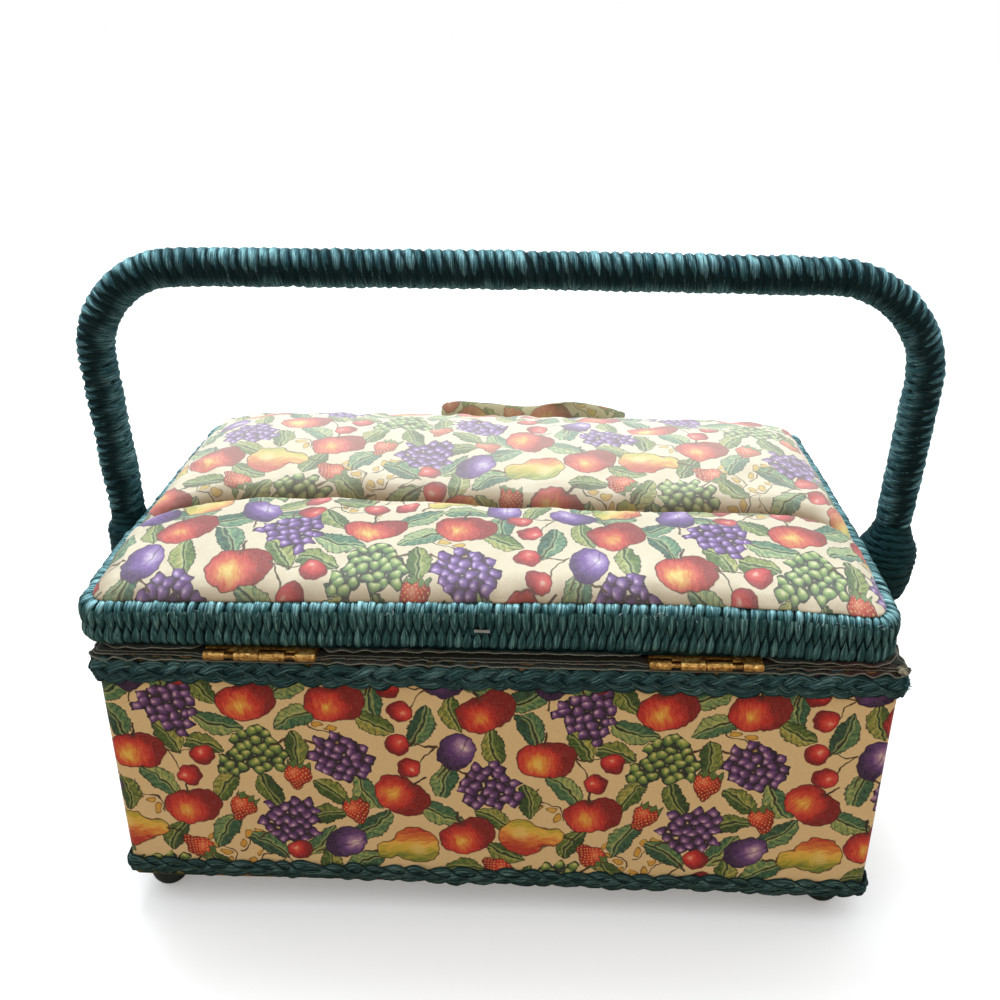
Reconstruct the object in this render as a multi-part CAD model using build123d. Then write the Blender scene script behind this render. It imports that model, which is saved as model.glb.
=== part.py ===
from build123d import *
import math
import os

os.makedirs("parts", exist_ok=True)

# ---------------------------------------------------------------- sizes (mm)
# Fabric-covered sewing basket.  +X along the long side, -Y the hinge side,
# +Y the latch side, +Z up, z = 0 at the soles of the feet.

# box
BOX_W, BOX_D = 280.0, 171.0        # outside of the printed cloth
BOX_R = 3.0                        # vertical corner radius of the cloth
CLOTH = 0.8
BOARD = 3.0                        # chipboard walls and bottom
LINING = 2.0
Z_BASE = 12.0                      # underside of the box, above the feet
SHEET = 0.6
Z_BOARD0 = Z_BASE + SHEET
Z_FLOOR = Z_BOARD0 + BOARD
FLOOR_PAD = 3.0
Z_WALL_TOP = 114.0
EDGE_T = 1.2                       # turned-in cloth edge on top of the wall
BRAID_T = 3.0
TOP_BRAID_Z0, TOP_BRAID_H = 103.6, 9.8
BOT_BRAID_Z0, BOT_BRAID_H = 13.0, 7.2

# feet
FOOT_R = 7.4
FOOT_X, FOOT_Y = 130.0, 74.0
FOOT_FLAT = 1.0                    # how much of the ball is ground flat

# lid
LID_W, LID_D = 280.0, 172.0
LID_R = 11.0
RIM_W = 8.0                        # plan width of the corded rim
RIM_Z0, RIM_H = 118.0, 18.0
WRAP_T = 1.5
LID_BOARD_Z0, LID_BOARD_T = 127.0, 3.0
LID_EDGE_T = 1.2
LID_LINING_Z0 = 115.6              # the padded lining plugs the mouth of the box

# butt hinges
HINGE_X0 = (-100.2, 53.2)          # left end of each hinge
HINGE_Y, HINGE_Z = -88.0, 116.4    # the one hinge axis
KNUCKLE_R, PIN_R, PIN_PLAY = 1.6, 0.8, 0.06
LEAF_T = 0.5
KNUCKLES = (("body", 0.0, 7.2), ("lid", 10.6, 19.0), ("body", 19.4, 28.0), ("lid", 31.8, 38.6))
LID_TONGUES = ((7.6, 19.0), (28.4, 38.6))
HINGE_L = 38.6

# handle
PIVOT_Z = 105.0
HANDLE_TILT = 3.8                  # leans towards the hinges
LEG_XL0, LEG_XL1 = -154.4, -155.8  # left leg centre, low and high
LEG_XR0, LEG_XR1 = 160.0, 160.3    # right leg centre, low and high
HANDLE_H = 128.1                   # pivot to centre of the grip
BEND_L, BEND_R = 36.0, 42.0        # uneven bends of the two corners
ROD_R, FILL_R, WRAPPED_R = 3.0, 5.6, 7.4
ROD_BEND = 8.0
CUFF_Z0, CUFF_Z1 = 92.5, 128.0
ROD_PLAY = 0.08

# closing tab
TAB_X, TAB_W, TAB_T = 13.5, 88.0, 2.2

# The origin is under the middle of the whole thing, handle and tab included;
# every number above and below is from the middle of the box itself.
ORIGIN_X, ORIGIN_Y = 3.825, 1.4

inner_w, inner_d = BOX_W - 2 * CLOTH, BOX_D - 2 * CLOTH
cav_w, cav_d = inner_w - 2 * BOARD, inner_d - 2 * BOARD
room_w, room_d = cav_w - 2 * LINING, cav_d - 2 * LINING


def save(shape, name):
    """One STEP file per piece, moved from the box's centre to the part's origin."""
    solids = (Pos(-ORIGIN_X, -ORIGIN_Y, 0) * shape).solids()
    out = solids[0] if len(solids) == 1 else Compound(children=list(solids))
    out.label = name
    export_step(out, f"parts/{name}.step")


def prism(w, d, r, z0, h):
    face = RectangleRounded(w, d, r) if r > 0 else Rectangle(w, d)
    return Pos(0, 0, z0) * extrude(face, h)


def ring(w, d, r, t, z0, h, r_in=None):
    r_in = max(r - t, 0.4) if r_in is None else r_in
    return prism(w, d, r, z0, h) - prism(w - 2 * t, d - 2 * t, r_in, z0 - 1, h + 2)


def block(x0, x1, y0, y1, z0, z1):
    return Pos((x0 + x1) / 2, (y0 + y1) / 2, (z0 + z1) / 2) * Box(x1 - x0, y1 - y0, z1 - z0)


def rod_x(r, x0, x1, y, z):
    return Pos((x0 + x1) / 2, y, z) * Rot(0, 90, 0) * Cylinder(r, x1 - x0)


def rod_y(r, y0, y1, x, z):
    return Pos(x, (y0 + y1) / 2, z) * Rot(90, 0, 0) * Cylinder(r, y1 - y0)


def rod_z(r, z0, z1, x, y):
    return Pos(x, y, (z0 + z1) / 2) * Cylinder(r, z1 - z0)


# ---------------------------------------------------------------- pivot bushes
# Flanged brass bushes through the end walls; the bent rod ends turn in them.
wall_x = BOX_W / 2
braid_x = wall_x + BRAID_T
lining_x = room_w / 2


def bush(side):
    x_in, x_out = lining_x - 0.8, braid_x + 1.1
    body = rod_x(4.2, min(side * x_in, side * x_out), max(side * x_in, side * x_out), 0, PIVOT_Z)
    a, b = sorted((side * braid_x, side * x_out))
    body += rod_x(7.0, a, b, 0, PIVOT_Z)
    a, b = sorted((side * x_in, side * lining_x))
    body += rod_x(6.5, a, b, 0, PIVOT_Z)
    a, b = sorted((side * (x_in - 1), side * (x_out + 1)))
    return body - rod_x(ROD_R + ROD_PLAY, a, b, 0, PIVOT_Z)


bush_hole = rod_x(4.2, -150, -120, 0, PIVOT_Z) + rod_x(4.2, 120, 150, 0, PIVOT_Z)
save(bush(-1), "pivot_bush_left")
save(bush(1), "pivot_bush_right")

# ---------------------------------------------------------------- hinges
body_leaf_holes = []
lid_leaf_holes = []
TAIL_Y = -room_d / 2               # inside face of the lining, hinge side


def hinge(x0):
    """Body leaf, lid leaf and pin of one butt hinge that starts at x0."""
    body = block(x0, x0 + HINGE_L, HINGE_Y, TAIL_Y + LEAF_T, HINGE_Z - KNUCKLE_R, HINGE_Z - KNUCKLE_R + LEAF_T)
    body += block(x0, x0 + HINGE_L, TAIL_Y, TAIL_Y + LEAF_T, 101.0, HINGE_Z - KNUCKLE_R + LEAF_T)
    lid = block(x0, x0 + HINGE_L, HINGE_Y, -LID_D / 2 + RIM_W, HINGE_Z + KNUCKLE_R - LEAF_T, HINGE_Z + KNUCKLE_R)
    # notches that leave room for the other leaf's knuckles
    body -= block(x0 + 7.2, x0 + 19.4, HINGE_Y - 2, HINGE_Y + 2.2, 110, 120)
    body -= block(x0 + 28.0, x0 + 40.0, HINGE_Y - 2, HINGE_Y + 2.2, 110, 120)
    lid -= block(x0 - 1, x0 + LID_TONGUES[0][0], HINGE_Y - 2, HINGE_Y + 2.7, 110, 120)
    lid -= block(x0 + LID_TONGUES[0][1], x0 + LID_TONGUES[1][0], HINGE_Y - 2, HINGE_Y + 2.7, 110, 120)
    # the pin shows between the tongues and their knuckles
    for a, b in ((7.2, 10.6), (28.0, 31.8)):
        lid -= block(x0 + a, x0 + b, HINGE_Y - 2, HINGE_Y + 1.2, 110, 120)
    for who, a, b in KNUCKLES:
        k = rod_x(KNUCKLE_R, x0 + a, x0 + b, HINGE_Y, HINGE_Z)
        if who == "body":
            body += k
        else:
            lid += k
    bore = rod_x(PIN_R + PIN_PLAY, x0 - 1, x0 + HINGE_L + 1, HINGE_Y, HINGE_Z)
    pin = rod_x(PIN_R, x0 + 0.3, x0 + HINGE_L - 0.3, HINGE_Y, HINGE_Z)
    return body - bore, lid - bore, pin


hinges = [hinge(x0) for x0 in HINGE_X0]

body_screws, lid_screws = [], []
for x0 in HINGE_X0:
    for dx in (8.0, HINGE_L - 8.0):
        shank = rod_y(0.8, TAIL_Y - LINING - 2.4, TAIL_Y + LEAF_T, x0 + dx, 105.5)
        head = rod_y(1.6, TAIL_Y + LEAF_T, TAIL_Y + LEAF_T + 0.6, x0 + dx, 105.5)
        body_screws.append(shank + head)
        shank = rod_z(0.8, HINGE_Z + KNUCKLE_R - LEAF_T, 126.0, x0 + dx, -81.5)
        head = rod_z(1.5, HINGE_Z + KNUCKLE_R - LEAF_T - 0.55, HINGE_Z + KNUCKLE_R - LEAF_T, x0 + dx, -81.5)
        lid_screws.append(shank + head)

for side, (b, l, p) in zip(("left", "right"), hinges):
    for s in body_screws:
        b -= s
    for s in lid_screws:
        l -= s
    save(b, f"hinge_leaf_body_{side}")
    save(l, f"hinge_leaf_lid_{side}")
    save(p, f"hinge_pin_{side}")
save(Compound(children=body_screws), "hinge_screws_body")
save(Compound(children=lid_screws), "hinge_screws_lid")

# ---------------------------------------------------------------- box walls
shell = prism(inner_w, inner_d, BOX_R - CLOTH, Z_FLOOR, Z_WALL_TOP - Z_FLOOR) - prism(cav_w, cav_d, 0, Z_FLOOR - 1, 200)
for s in body_screws:
    shell -= s
shell -= bush_hole
half = cav_d / 2
save(shell & block(-200, 200, -200, -half, 0, 200), "wall_hinge_side")
save(shell & block(-200, 200, half, 200, 0, 200), "wall_latch_side")
save(shell & block(-200, 0, -half, half, 0, 200), "wall_left_end")
save(shell & block(0, 200, -half, half, 0, 200), "wall_right_end")

nails = []
foot_parts = []
for sx in (-1, 1):
    for sy in (-1, 1):
        x, y = sx * FOOT_X, sy * FOOT_Y
        ball = Pos(x, y, FOOT_R - FOOT_FLAT) * Sphere(FOOT_R)
        foot = ball & block(x - 20, x + 20, y - 20, y + 20, 0, Z_BASE)
        nail = rod_z(0.9, 4.0, Z_FLOOR, x, y) + rod_z(2.4, Z_FLOOR, Z_FLOOR + 0.8, x, y)
        foot_parts.append(foot - nail)
        nails.append(nail)
save(Compound(children=foot_parts), "feet")
save(Compound(children=nails), "foot_nails")

bottom = prism(inner_w, inner_d, BOX_R - CLOTH, Z_BOARD0, BOARD)
sheet = prism(BOX_W - 3, BOX_D - 3, BOX_R - 1.5, Z_BASE, SHEET)
for n in nails:
    bottom -= n
    sheet -= n
save(bottom, "bottom_board")
save(sheet, "base_sheet")

cover = ring(BOX_W, BOX_D, BOX_R, CLOTH, Z_BOARD0, Z_WALL_TOP - Z_BOARD0) - bush_hole
save(cover, "box_cover")
lining = ring(cav_w, cav_d, 1.0, LINING, Z_FLOOR, Z_WALL_TOP - Z_FLOOR, 0.6)
lining = lining & prism(cav_w, cav_d, 0, 0, 200)
for s in body_screws:
    lining -= s
save(lining - bush_hole, "wall_lining")
floor = prism(room_w, room_d, 0.6, Z_FLOOR, FLOOR_PAD)
for n in nails:
    floor -= n
save(floor, "floor_pad")
edge = ring(BOX_W + 3, BOX_D + 3, BOX_R + 1.5, (BOX_W + 3 - room_w) / 2, Z_WALL_TOP, EDGE_T, 0.6)
for x0 in HINGE_X0:
    edge -= block(x0, x0 + HINGE_L, -100, TAIL_Y + 1, HINGE_Z - KNUCKLE_R, HINGE_Z)
save(edge, "box_lining_edge")
save(ring(BOX_W + 2 * BRAID_T, BOX_D + 2 * BRAID_T, BOX_R + BRAID_T, BRAID_T, TOP_BRAID_Z0, TOP_BRAID_H) - bush_hole, "top_braid")
save(ring(BOX_W + 2 * BRAID_T, BOX_D + 2 * BRAID_T, BOX_R + BRAID_T, BRAID_T, BOT_BRAID_Z0, BOT_BRAID_H), "bottom_braid")

# ---------------------------------------------------------------- lid
rim_in_w, rim_in_d, rim_in_r = LID_W - 2 * RIM_W, LID_D - 2 * RIM_W, 3.0
core_z0, core_h = RIM_Z0 + WRAP_T, RIM_H - 2 * WRAP_T
hole = prism(rim_in_w, rim_in_d, rim_in_r, RIM_Z0 - 1, RIM_H + 2)
core = prism(LID_W - 2 * WRAP_T, LID_D - 2 * WRAP_T, LID_R - WRAP_T, core_z0, core_h) - hole
wrap = prism(LID_W, LID_D, LID_R, RIM_Z0, RIM_H) - hole - prism(LID_W - 2 * WRAP_T, LID_D - 2 * WRAP_T, LID_R - WRAP_T, core_z0, core_h)
lid_edge = ring(LID_W - 2, LID_D - 2, LID_R - 1, RIM_W - 1, RIM_Z0 - LID_EDGE_T, LID_EDGE_T, rim_in_r)
for x0 in HINGE_X0:
    lid_edge -= block(x0, x0 + HINGE_L, -100, -70, HINGE_Z, HINGE_Z + KNUCKLE_R)

staple_y = -LID_D / 2
staple_x0, staple_x1, staple_z = -6.9, -1.6, 127.7
staple = block(staple_x0, staple_x1, staple_y - 0.7, staple_y, staple_z - 0.6, staple_z + 0.6)
staple += block(staple_x0, staple_x0 + 0.7, staple_y - 0.7, staple_y + 5, staple_z - 0.6, staple_z + 0.6)
staple += block(staple_x1 - 0.7, staple_x1, staple_y - 0.7, staple_y + 5, staple_z - 0.6, staple_z + 0.6)
save(staple, "rim_staple")

for s in lid_screws:
    core -= s
    wrap -= s
    lid_edge -= s
save(core - staple, "lid_rim_core")
save(wrap - staple, "lid_rim_wrap")
save(lid_edge, "lid_lining_edge")
save(prism(rim_in_w, rim_in_d, rim_in_r, LID_BOARD_Z0, LID_BOARD_T), "lid_board")
save(prism(rim_in_w, rim_in_d, rim_in_r, LID_LINING_Z0, LID_BOARD_Z0 - LID_LINING_Z0), "lid_lining")


def facets(points, n):
    """Corners along three-point arcs: start, (via, end), (via, end) ..."""
    out = [points[0]]
    for i in range(0, len(points) - 2, 2):
        arc = ThreePointArc(points[i], points[i + 1], points[i + 2])
        for k in range(1, n + 1):
            q = arc @ (k / n)
            out.append((q.X, q.Y))
    return out


def dome(o):
    """The crowned lid stuffing in flat facets; o grows it by the cloth's thickness."""
    z0 = LID_BOARD_Z0 + LID_BOARD_T
    y, x = rim_in_d / 2 - CLOTH + o, rim_in_w / 2 - CLOTH + o
    pts = [(-y, 136 + o), (-y + 3.5, 141.0 + o), (-66, 143.6 + o),
           (-33, 147.0 + o), (-20, 141.0 + o),
           (-6, 146.0 + o), (16, 149.6 + o),
           (40, 150.9 + o), (62, 148.2 + o),
           (y - 5, 144.0 + o), (y, 136 + o)]
    side = make_face(Polyline(*(facets(pts, 4) + [(y, z0), (-y, z0)]), close=True))
    long_way = extrude(Plane.YZ * side, 150, both=True)
    pts = [(-x, 136 + o), (-x + 5, 143.8 + o), (-110, 150.2 + o),
           (0, 156.0 + o), (110, 150.2 + o),
           (x - 5, 143.8 + o), (x, 136 + o)]
    front = make_face(Polyline(*(facets(pts, 4) + [(x, z0), (-x, z0)]), close=True))
    cross = extrude(Plane.XZ * front, 100, both=True)
    c = 3.0
    plan = make_face(Polyline((-x + c, -y), (x - c, -y), (x, -y + c), (x, y - c),
                              (x - c, y), (-x + c, y), (-x, y - c), (-x, -y + c), close=True))
    return long_way & cross & (Pos(0, 0, z0 - 5) * extrude(plan, 60))


pad = dome(0.0)
save(pad, "lid_pad")
save(dome(CLOTH) - pad, "lid_cover")


def strip(points, t, x0, x1):
    """A bent flat strip of thickness t along (y, z) points, x0 to x1 wide."""
    left, right = [], []
    n = len(points)
    for i, (py, pz) in enumerate(points):
        a = points[max(i - 1, 0)]
        b = points[min(i + 1, n - 1)]
        d1 = (py - a[0], pz - a[1]) if i else (b[0] - py, b[1] - pz)
        d2 = (b[0] - py, b[1] - pz) if i < n - 1 else d1
        l1, l2 = math.hypot(*d1), math.hypot(*d2)
        d1, d2 = (d1[0] / l1, d1[1] / l1), (d2[0] / l2, d2[1] / l2)
        nx, nz = -(d1[1] + d2[1]), d1[0] + d2[0]
        k = t / 2 / (math.hypot(nx, nz) / 2) ** 2 / 2
        left.append((py + nx * k, pz + nz * k))
        right.append((py - nx * k, pz - nz * k))
    face = make_face(Polyline(*(left + right[::-1]), close=True))
    return Pos(x0, 0, 0) * extrude(Plane.YZ * face, x1 - x0)


tab_x0, tab_x1 = TAB_X - TAB_W / 2, TAB_X + TAB_W / 2
root = strip([(79.4, 137.3), (81.0, 140.6), (84.0, 143.1), (88.6, 143.4)], TAB_T, tab_x0, tab_x1)
save(root & block(-200, 200, 0, 200, RIM_Z0 + RIM_H, 200), "closing_tab_root")
flap = strip([(91.3, 142.0), (92.2, 134.0), (92.2, 101.0)], TAB_T, tab_x0, tab_x1)
corner = [e for e in flap.edges().filter_by(Axis.Y) if e.center().Z < 102]
flap = fillet(corner, 14.0)
save(flap, "closing_tab_flap")
braid_y = BOX_D / 2 + BRAID_T
save(block(TAB_X - 11, TAB_X + 11, braid_y, braid_y + 1.1, 104.4, 112.6), "closure_patch_box")
save(block(TAB_X - 11, TAB_X + 11, braid_y + 1.5, 92.2 - TAB_T / 2, 104.0, 113.0), "closure_patch_tab")

# ---------------------------------------------------------------- handle
# Bent steel rod, stuffed and wrapped with cord; the rod ends turn inwards
# through the bushes.  Modelled upright, then tilted about the pivot axis.
z_top = PIVOT_Z + HANDLE_H
rod_end = lining_x - 5.0
P = [(-rod_end, PIVOT_Z), (LEG_XL0, PIVOT_Z), (LEG_XL1, z_top), (LEG_XR1, z_top), (LEG_XR0, PIVOT_Z), (rod_end, PIVOT_Z)]
path = Plane.XZ * FilletPolyline(*P, radius=[ROD_BEND, BEND_L, BEND_R, ROD_BEND])


def tube_along(r):
    """A round bar swept along the handle's centre line."""
    start = path ^ 0
    return sweep(start * Circle(r), path)


rod = tube_along(ROD_R)
high = block(-200, 200, -50, 50, CUFF_Z1, 300)
fill_full = tube_along(FILL_R)
wrap_full = tube_along(WRAPPED_R)
filler = (fill_full & high) - rod
handle_wrap = (wrap_full & high) - fill_full


def cuff(x, r):
    """Wrapped bulb round the bend of the rod."""
    pts = [(0, CUFF_Z0), (r * 0.52, CUFF_Z0 + 0.6), (r * 0.80, CUFF_Z0 + 3.2), (r * 0.95, CUFF_Z0 + 8),
           (r, CUFF_Z0 + 14), (r, CUFF_Z1 - 8.5), (r * 0.93, CUFF_Z1 - 4.8), (7.6, CUFF_Z1), (0, CUFF_Z1)]
    face = make_face(Polyline(*pts, close=True))
    bulb = Pos(x, 0, 0) * revolve(Plane.XZ * face, Axis.Z)
    return bulb - rod


cuff_l = cuff(LEG_XL0, 9.55)
cuff_r = cuff(LEG_XR0, 11.6)


def end_cap(side):
    """Domed push cap on the rod's inner end."""
    x_in, x_out = rod_end - 1.2, lining_x - 1.0
    a, b = sorted((side * x_in, side * x_out))
    cap = rod_x(6.2, a, b, 0, PIVOT_Z)
    cap = chamfer([e for e in cap.edges() if abs(e.center().X - side * x_in) < 0.01], 1.0)
    return cap - rod


caps = [end_cap(-1), end_cap(1)]
sleeve_x0, sleeve_x1 = braid_x + 1.1 + 0.1, LEG_XR0 - 11.6
sleeve = rod_x(5.2, sleeve_x0, sleeve_x1 + 1.5, 0, PIVOT_Z) - rod_x(ROD_R, 100, 200, 0, PIVOT_Z) - cuff_r

tilt = Pos(0, 0, PIVOT_Z) * Rot(HANDLE_TILT, 0, 0) * Pos(0, 0, -PIVOT_Z)
save(tilt * rod, "handle_rod")
save(tilt * filler, "handle_filler")
save(tilt * handle_wrap, "handle_wrap")
save(tilt * cuff_l, "handle_cuff_left")
save(tilt * cuff_r, "handle_cuff_right")
save(tilt * Compound(children=caps), "rod_end_caps")
save(tilt * sleeve, "spacer_sleeve_right")
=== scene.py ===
import bpy
import math
import numpy as np
from mathutils import Vector, Matrix


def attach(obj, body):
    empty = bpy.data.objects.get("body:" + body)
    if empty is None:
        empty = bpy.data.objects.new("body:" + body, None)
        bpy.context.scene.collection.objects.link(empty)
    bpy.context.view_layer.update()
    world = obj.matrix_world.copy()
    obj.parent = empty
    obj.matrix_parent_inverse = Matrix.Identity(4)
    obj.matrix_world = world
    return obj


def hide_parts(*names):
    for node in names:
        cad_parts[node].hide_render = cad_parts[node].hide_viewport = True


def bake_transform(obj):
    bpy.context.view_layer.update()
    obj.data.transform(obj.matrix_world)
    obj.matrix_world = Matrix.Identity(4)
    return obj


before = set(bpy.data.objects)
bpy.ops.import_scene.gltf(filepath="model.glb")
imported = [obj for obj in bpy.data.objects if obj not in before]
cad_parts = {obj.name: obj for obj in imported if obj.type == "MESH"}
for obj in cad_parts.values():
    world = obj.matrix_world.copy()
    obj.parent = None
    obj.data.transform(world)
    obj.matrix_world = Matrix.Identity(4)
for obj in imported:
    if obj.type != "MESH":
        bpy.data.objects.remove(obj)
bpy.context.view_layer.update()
scene = bpy.context.scene
scene.view_settings.view_transform = "Standard"
scene.view_settings.look = "None"

# ------------------------------------------------------------------ frame
# Lengths below are in millimetres from the middle of the box, z = 0 at the
# soles; mm() moves them to the part's own origin and to metres.
OX, OY = 3.825, 1.4
PIVOT_Z = 105.0
TILT = math.radians(3.8)


def mm(p):
    p = np.asarray(p, float)
    return (p - np.array([OX, OY, 0.0])) / 1000.0


def lerp_table(points):
    xs, ys = np.array(points, float).T
    return lambda t: np.interp(t, xs, ys)


def smooth(a, b, t):
    t = np.clip((np.asarray(t, float) - a) / (b - a), 0, 1)
    return t * t * (3 - 2 * t)


def wobble(seed, n=5, low=0.6, high=2.4):
    """A smooth seeded 1-D noise of about unit size; t is in its own periods."""
    r = np.random.RandomState(seed)
    f = r.uniform(low, high, n) * 2 * np.pi
    ph = r.uniform(0, 2 * np.pi, n)
    a = r.uniform(0.5, 1.0, n)
    a /= np.sqrt((a ** 2).sum() / 2)

    def at(t):
        t = np.asarray(t, float)
        return sum(a[i] * np.sin(f[i] * t + ph[i]) for i in range(n)) * 0.7

    return at


def ring_noise(seed, length, n=9, kmin=3, kmax=40):
    """Noise that closes on itself over a loop of the given length."""
    r = np.random.RandomState(seed)
    k = r.randint(kmin, kmax, n)
    ph = r.uniform(0, 2 * np.pi, n)
    a = r.uniform(0.4, 1.0, n)
    a /= np.sqrt((a ** 2).sum() / 2)

    def at(s):
        s = np.asarray(s, float)
        return sum(a[i] * np.sin(2 * np.pi * k[i] * s / length + ph[i]) for i in range(n)) * 0.7

    return at


# ------------------------------------------------------------------ meshes
class Bag:
    """Collects quads with corner UVs, and end caps, into one mesh."""

    def __init__(self):
        self.v, self.q, self.uv, self.caps, self.c, self.f = [], [], [], [], [], []
        self.n = 0

    def grid(self, P, U, V, around=True, along=False, flip=False, caps=False, cav=None, fade_and_painted_light=None):
        """P is (n, m, 3) in mm. U is (n[+1]) and V is (m[+1]) of UV numbers, or 2-D arrays.
        cav is 0 in the gaps between strands and 1 on their backs, and the cord material darkens the gaps as painted
        shade; faded is 1 where the colour is washed towards another: a painted highlight on cord tops, painted shade on
        the tab, a paler far half on the lid."""
        n, m = P.shape[:2]
        base = self.n
        self.v.append(P.reshape(-1, 3))
        self.c.append(np.ones(n * m) if cav is None else np.broadcast_to(cav, (n, m)).reshape(-1))
        self.f.append(np.zeros(n * m) if fade_and_painted_light is None else np.broadcast_to(fade_and_painted_light, (n, m)).reshape(-1))
        self.n += n * m
        ni, mj = (n if along else n - 1), (m if around else m - 1)
        i, j = np.meshgrid(np.arange(ni), np.arange(mj), indexing="ij")
        i2, j2 = (i + 1) % n, (j + 1) % m
        q = np.stack([i * m + j, i2 * m + j, i2 * m + j2, i * m + j2], -1).reshape(-1, 4) + base
        U, V = np.asarray(U, float), np.asarray(V, float)
        if U.ndim == 1:
            a = np.stack([U[i], U[i + 1], U[i + 1], U[i]], -1)
            b = np.stack([V[j], V[j], V[j + 1], V[j + 1]], -1)
        else:
            a = np.stack([U[i, j], U[i + 1, j], U[i + 1, j + 1], U[i, j + 1]], -1)
            b = np.stack([V[i, j], V[i + 1, j], V[i + 1, j + 1], V[i, j + 1]], -1)
        uv = np.stack([a, b], -1).reshape(-1, 4, 2)
        if flip:
            q, uv = q[:, ::-1], uv[:, ::-1]
        self.q.append(q)
        self.uv.append(uv)
        if caps and around and not along:
            first = list(range(base, base + m))
            last = list(range(base + (n - 1) * m, base + n * m))
            u0, u1 = float(U.flat[0]), float(U.flat[-1])
            if flip:
                self.caps += [(first, u0), (last[::-1], u1)]
            else:
                self.caps += [(first[::-1], u0), (last, u1)]
        return base

    def quads(self, q, uv):
        self.q.append(np.asarray(q))
        self.uv.append(np.asarray(uv, float))

    def build(self, name, metres=True):
        v = np.concatenate(self.v)
        v = mm(v) if metres else v
        q = np.concatenate(self.q)
        uv = np.concatenate(self.uv)
        faces = q.tolist() + [c for c, _ in self.caps]
        me = bpy.data.meshes.new(name)
        me.from_pydata(v.tolist(), [], faces)
        layer = me.uv_layers.new(name="weave")
        flat = uv.reshape(-1, 2)
        extra = []
        for c, u in self.caps:
            extra += [(u, 0.0)] * len(c)
        if extra:
            flat = np.concatenate([flat, np.array(extra)])
        layer.data.foreach_set("uv", flat.astype(np.float32).ravel())
        me.polygons.foreach_set("use_smooth", [True] * len(me.polygons))
        me.attributes.new("strand", "FLOAT", "POINT").data.foreach_set("value", np.clip(np.concatenate(self.c), 0, 1).astype(np.float32))
        me.attributes.new("fade_and_painted_light", "FLOAT", "POINT").data.foreach_set("value", np.clip(np.concatenate(self.f), 0, 1).astype(np.float32))
        me.update()
        ob = bpy.data.objects.new(name, me)
        scene.collection.objects.link(ob)
        return ob


def finish_piece(ob, body, mat, replaces=()):
    ob.data.materials.clear()
    ob.data.materials.append(mat)
    if body:
        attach(ob, body)
    if replaces:
        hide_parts(*replaces)
    return ob


def sharp_edges(ob, angle=40):
    me = ob.data
    me.set_sharp_from_angle(angle=math.radians(angle))


def rounded_loop(w, d, r, step):
    """Points, outward normals and arc lengths of a rounded rectangle, anticlockwise from the middle of the -Y side."""
    hx, hy = w / 2 - r, d / 2 - r
    segs = [("l", (0, -d / 2), (hx, -d / 2)), ("a", (hx, -hy), -90), ("l", (w / 2, -hy), (w / 2, hy)),
            ("a", (hx, hy), 0), ("l", (hx, d / 2), (-hx, d / 2)), ("a", (-hx, hy), 90),
            ("l", (-w / 2, hy), (-w / 2, -hy)), ("a", (-hx, -hy), 180), ("l", (-hx, -d / 2), (0, -d / 2))]
    pts, nor, dense = [], [], 0.25
    for s in segs:
        if s[0] == "l":
            a, b = np.array(s[1], float), np.array(s[2], float)
            k = max(int(np.linalg.norm(b - a) / dense), 1)
            t = (np.arange(k) / k)[:, None]
            pts.append(a + (b - a) * t)
            dd = (b - a) / np.linalg.norm(b - a)
            nor.append(np.tile([dd[1], -dd[0]], (k, 1)))
        else:
            k = max(int(r * math.pi / 2 / dense), 6)
            ang = np.radians(s[2] + 90 * np.arange(k) / k)
            nn = np.stack([np.cos(ang), np.sin(ang)], 1)
            pts.append(np.array(s[1]) + r * nn)
            nor.append(nn)
    P, N = np.concatenate(pts), np.concatenate(nor)
    L = np.concatenate([[0], np.cumsum(np.linalg.norm(np.diff(np.vstack([P, P[:1]]), axis=0), axis=1))])
    total = L[-1]
    n = int(round(total / step))
    s = np.arange(n) * total / n
    Pc, Nc = np.vstack([P, P[:1]]), np.vstack([N, N[:1]])
    out = np.stack([np.interp(s, L, Pc[:, i]) for i in range(2)], 1)
    no = np.stack([np.interp(s, L, Nc[:, i]) for i in range(2)], 1)
    no /= np.linalg.norm(no, axis=1, keepdims=True)
    return out, no, s, total


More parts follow.
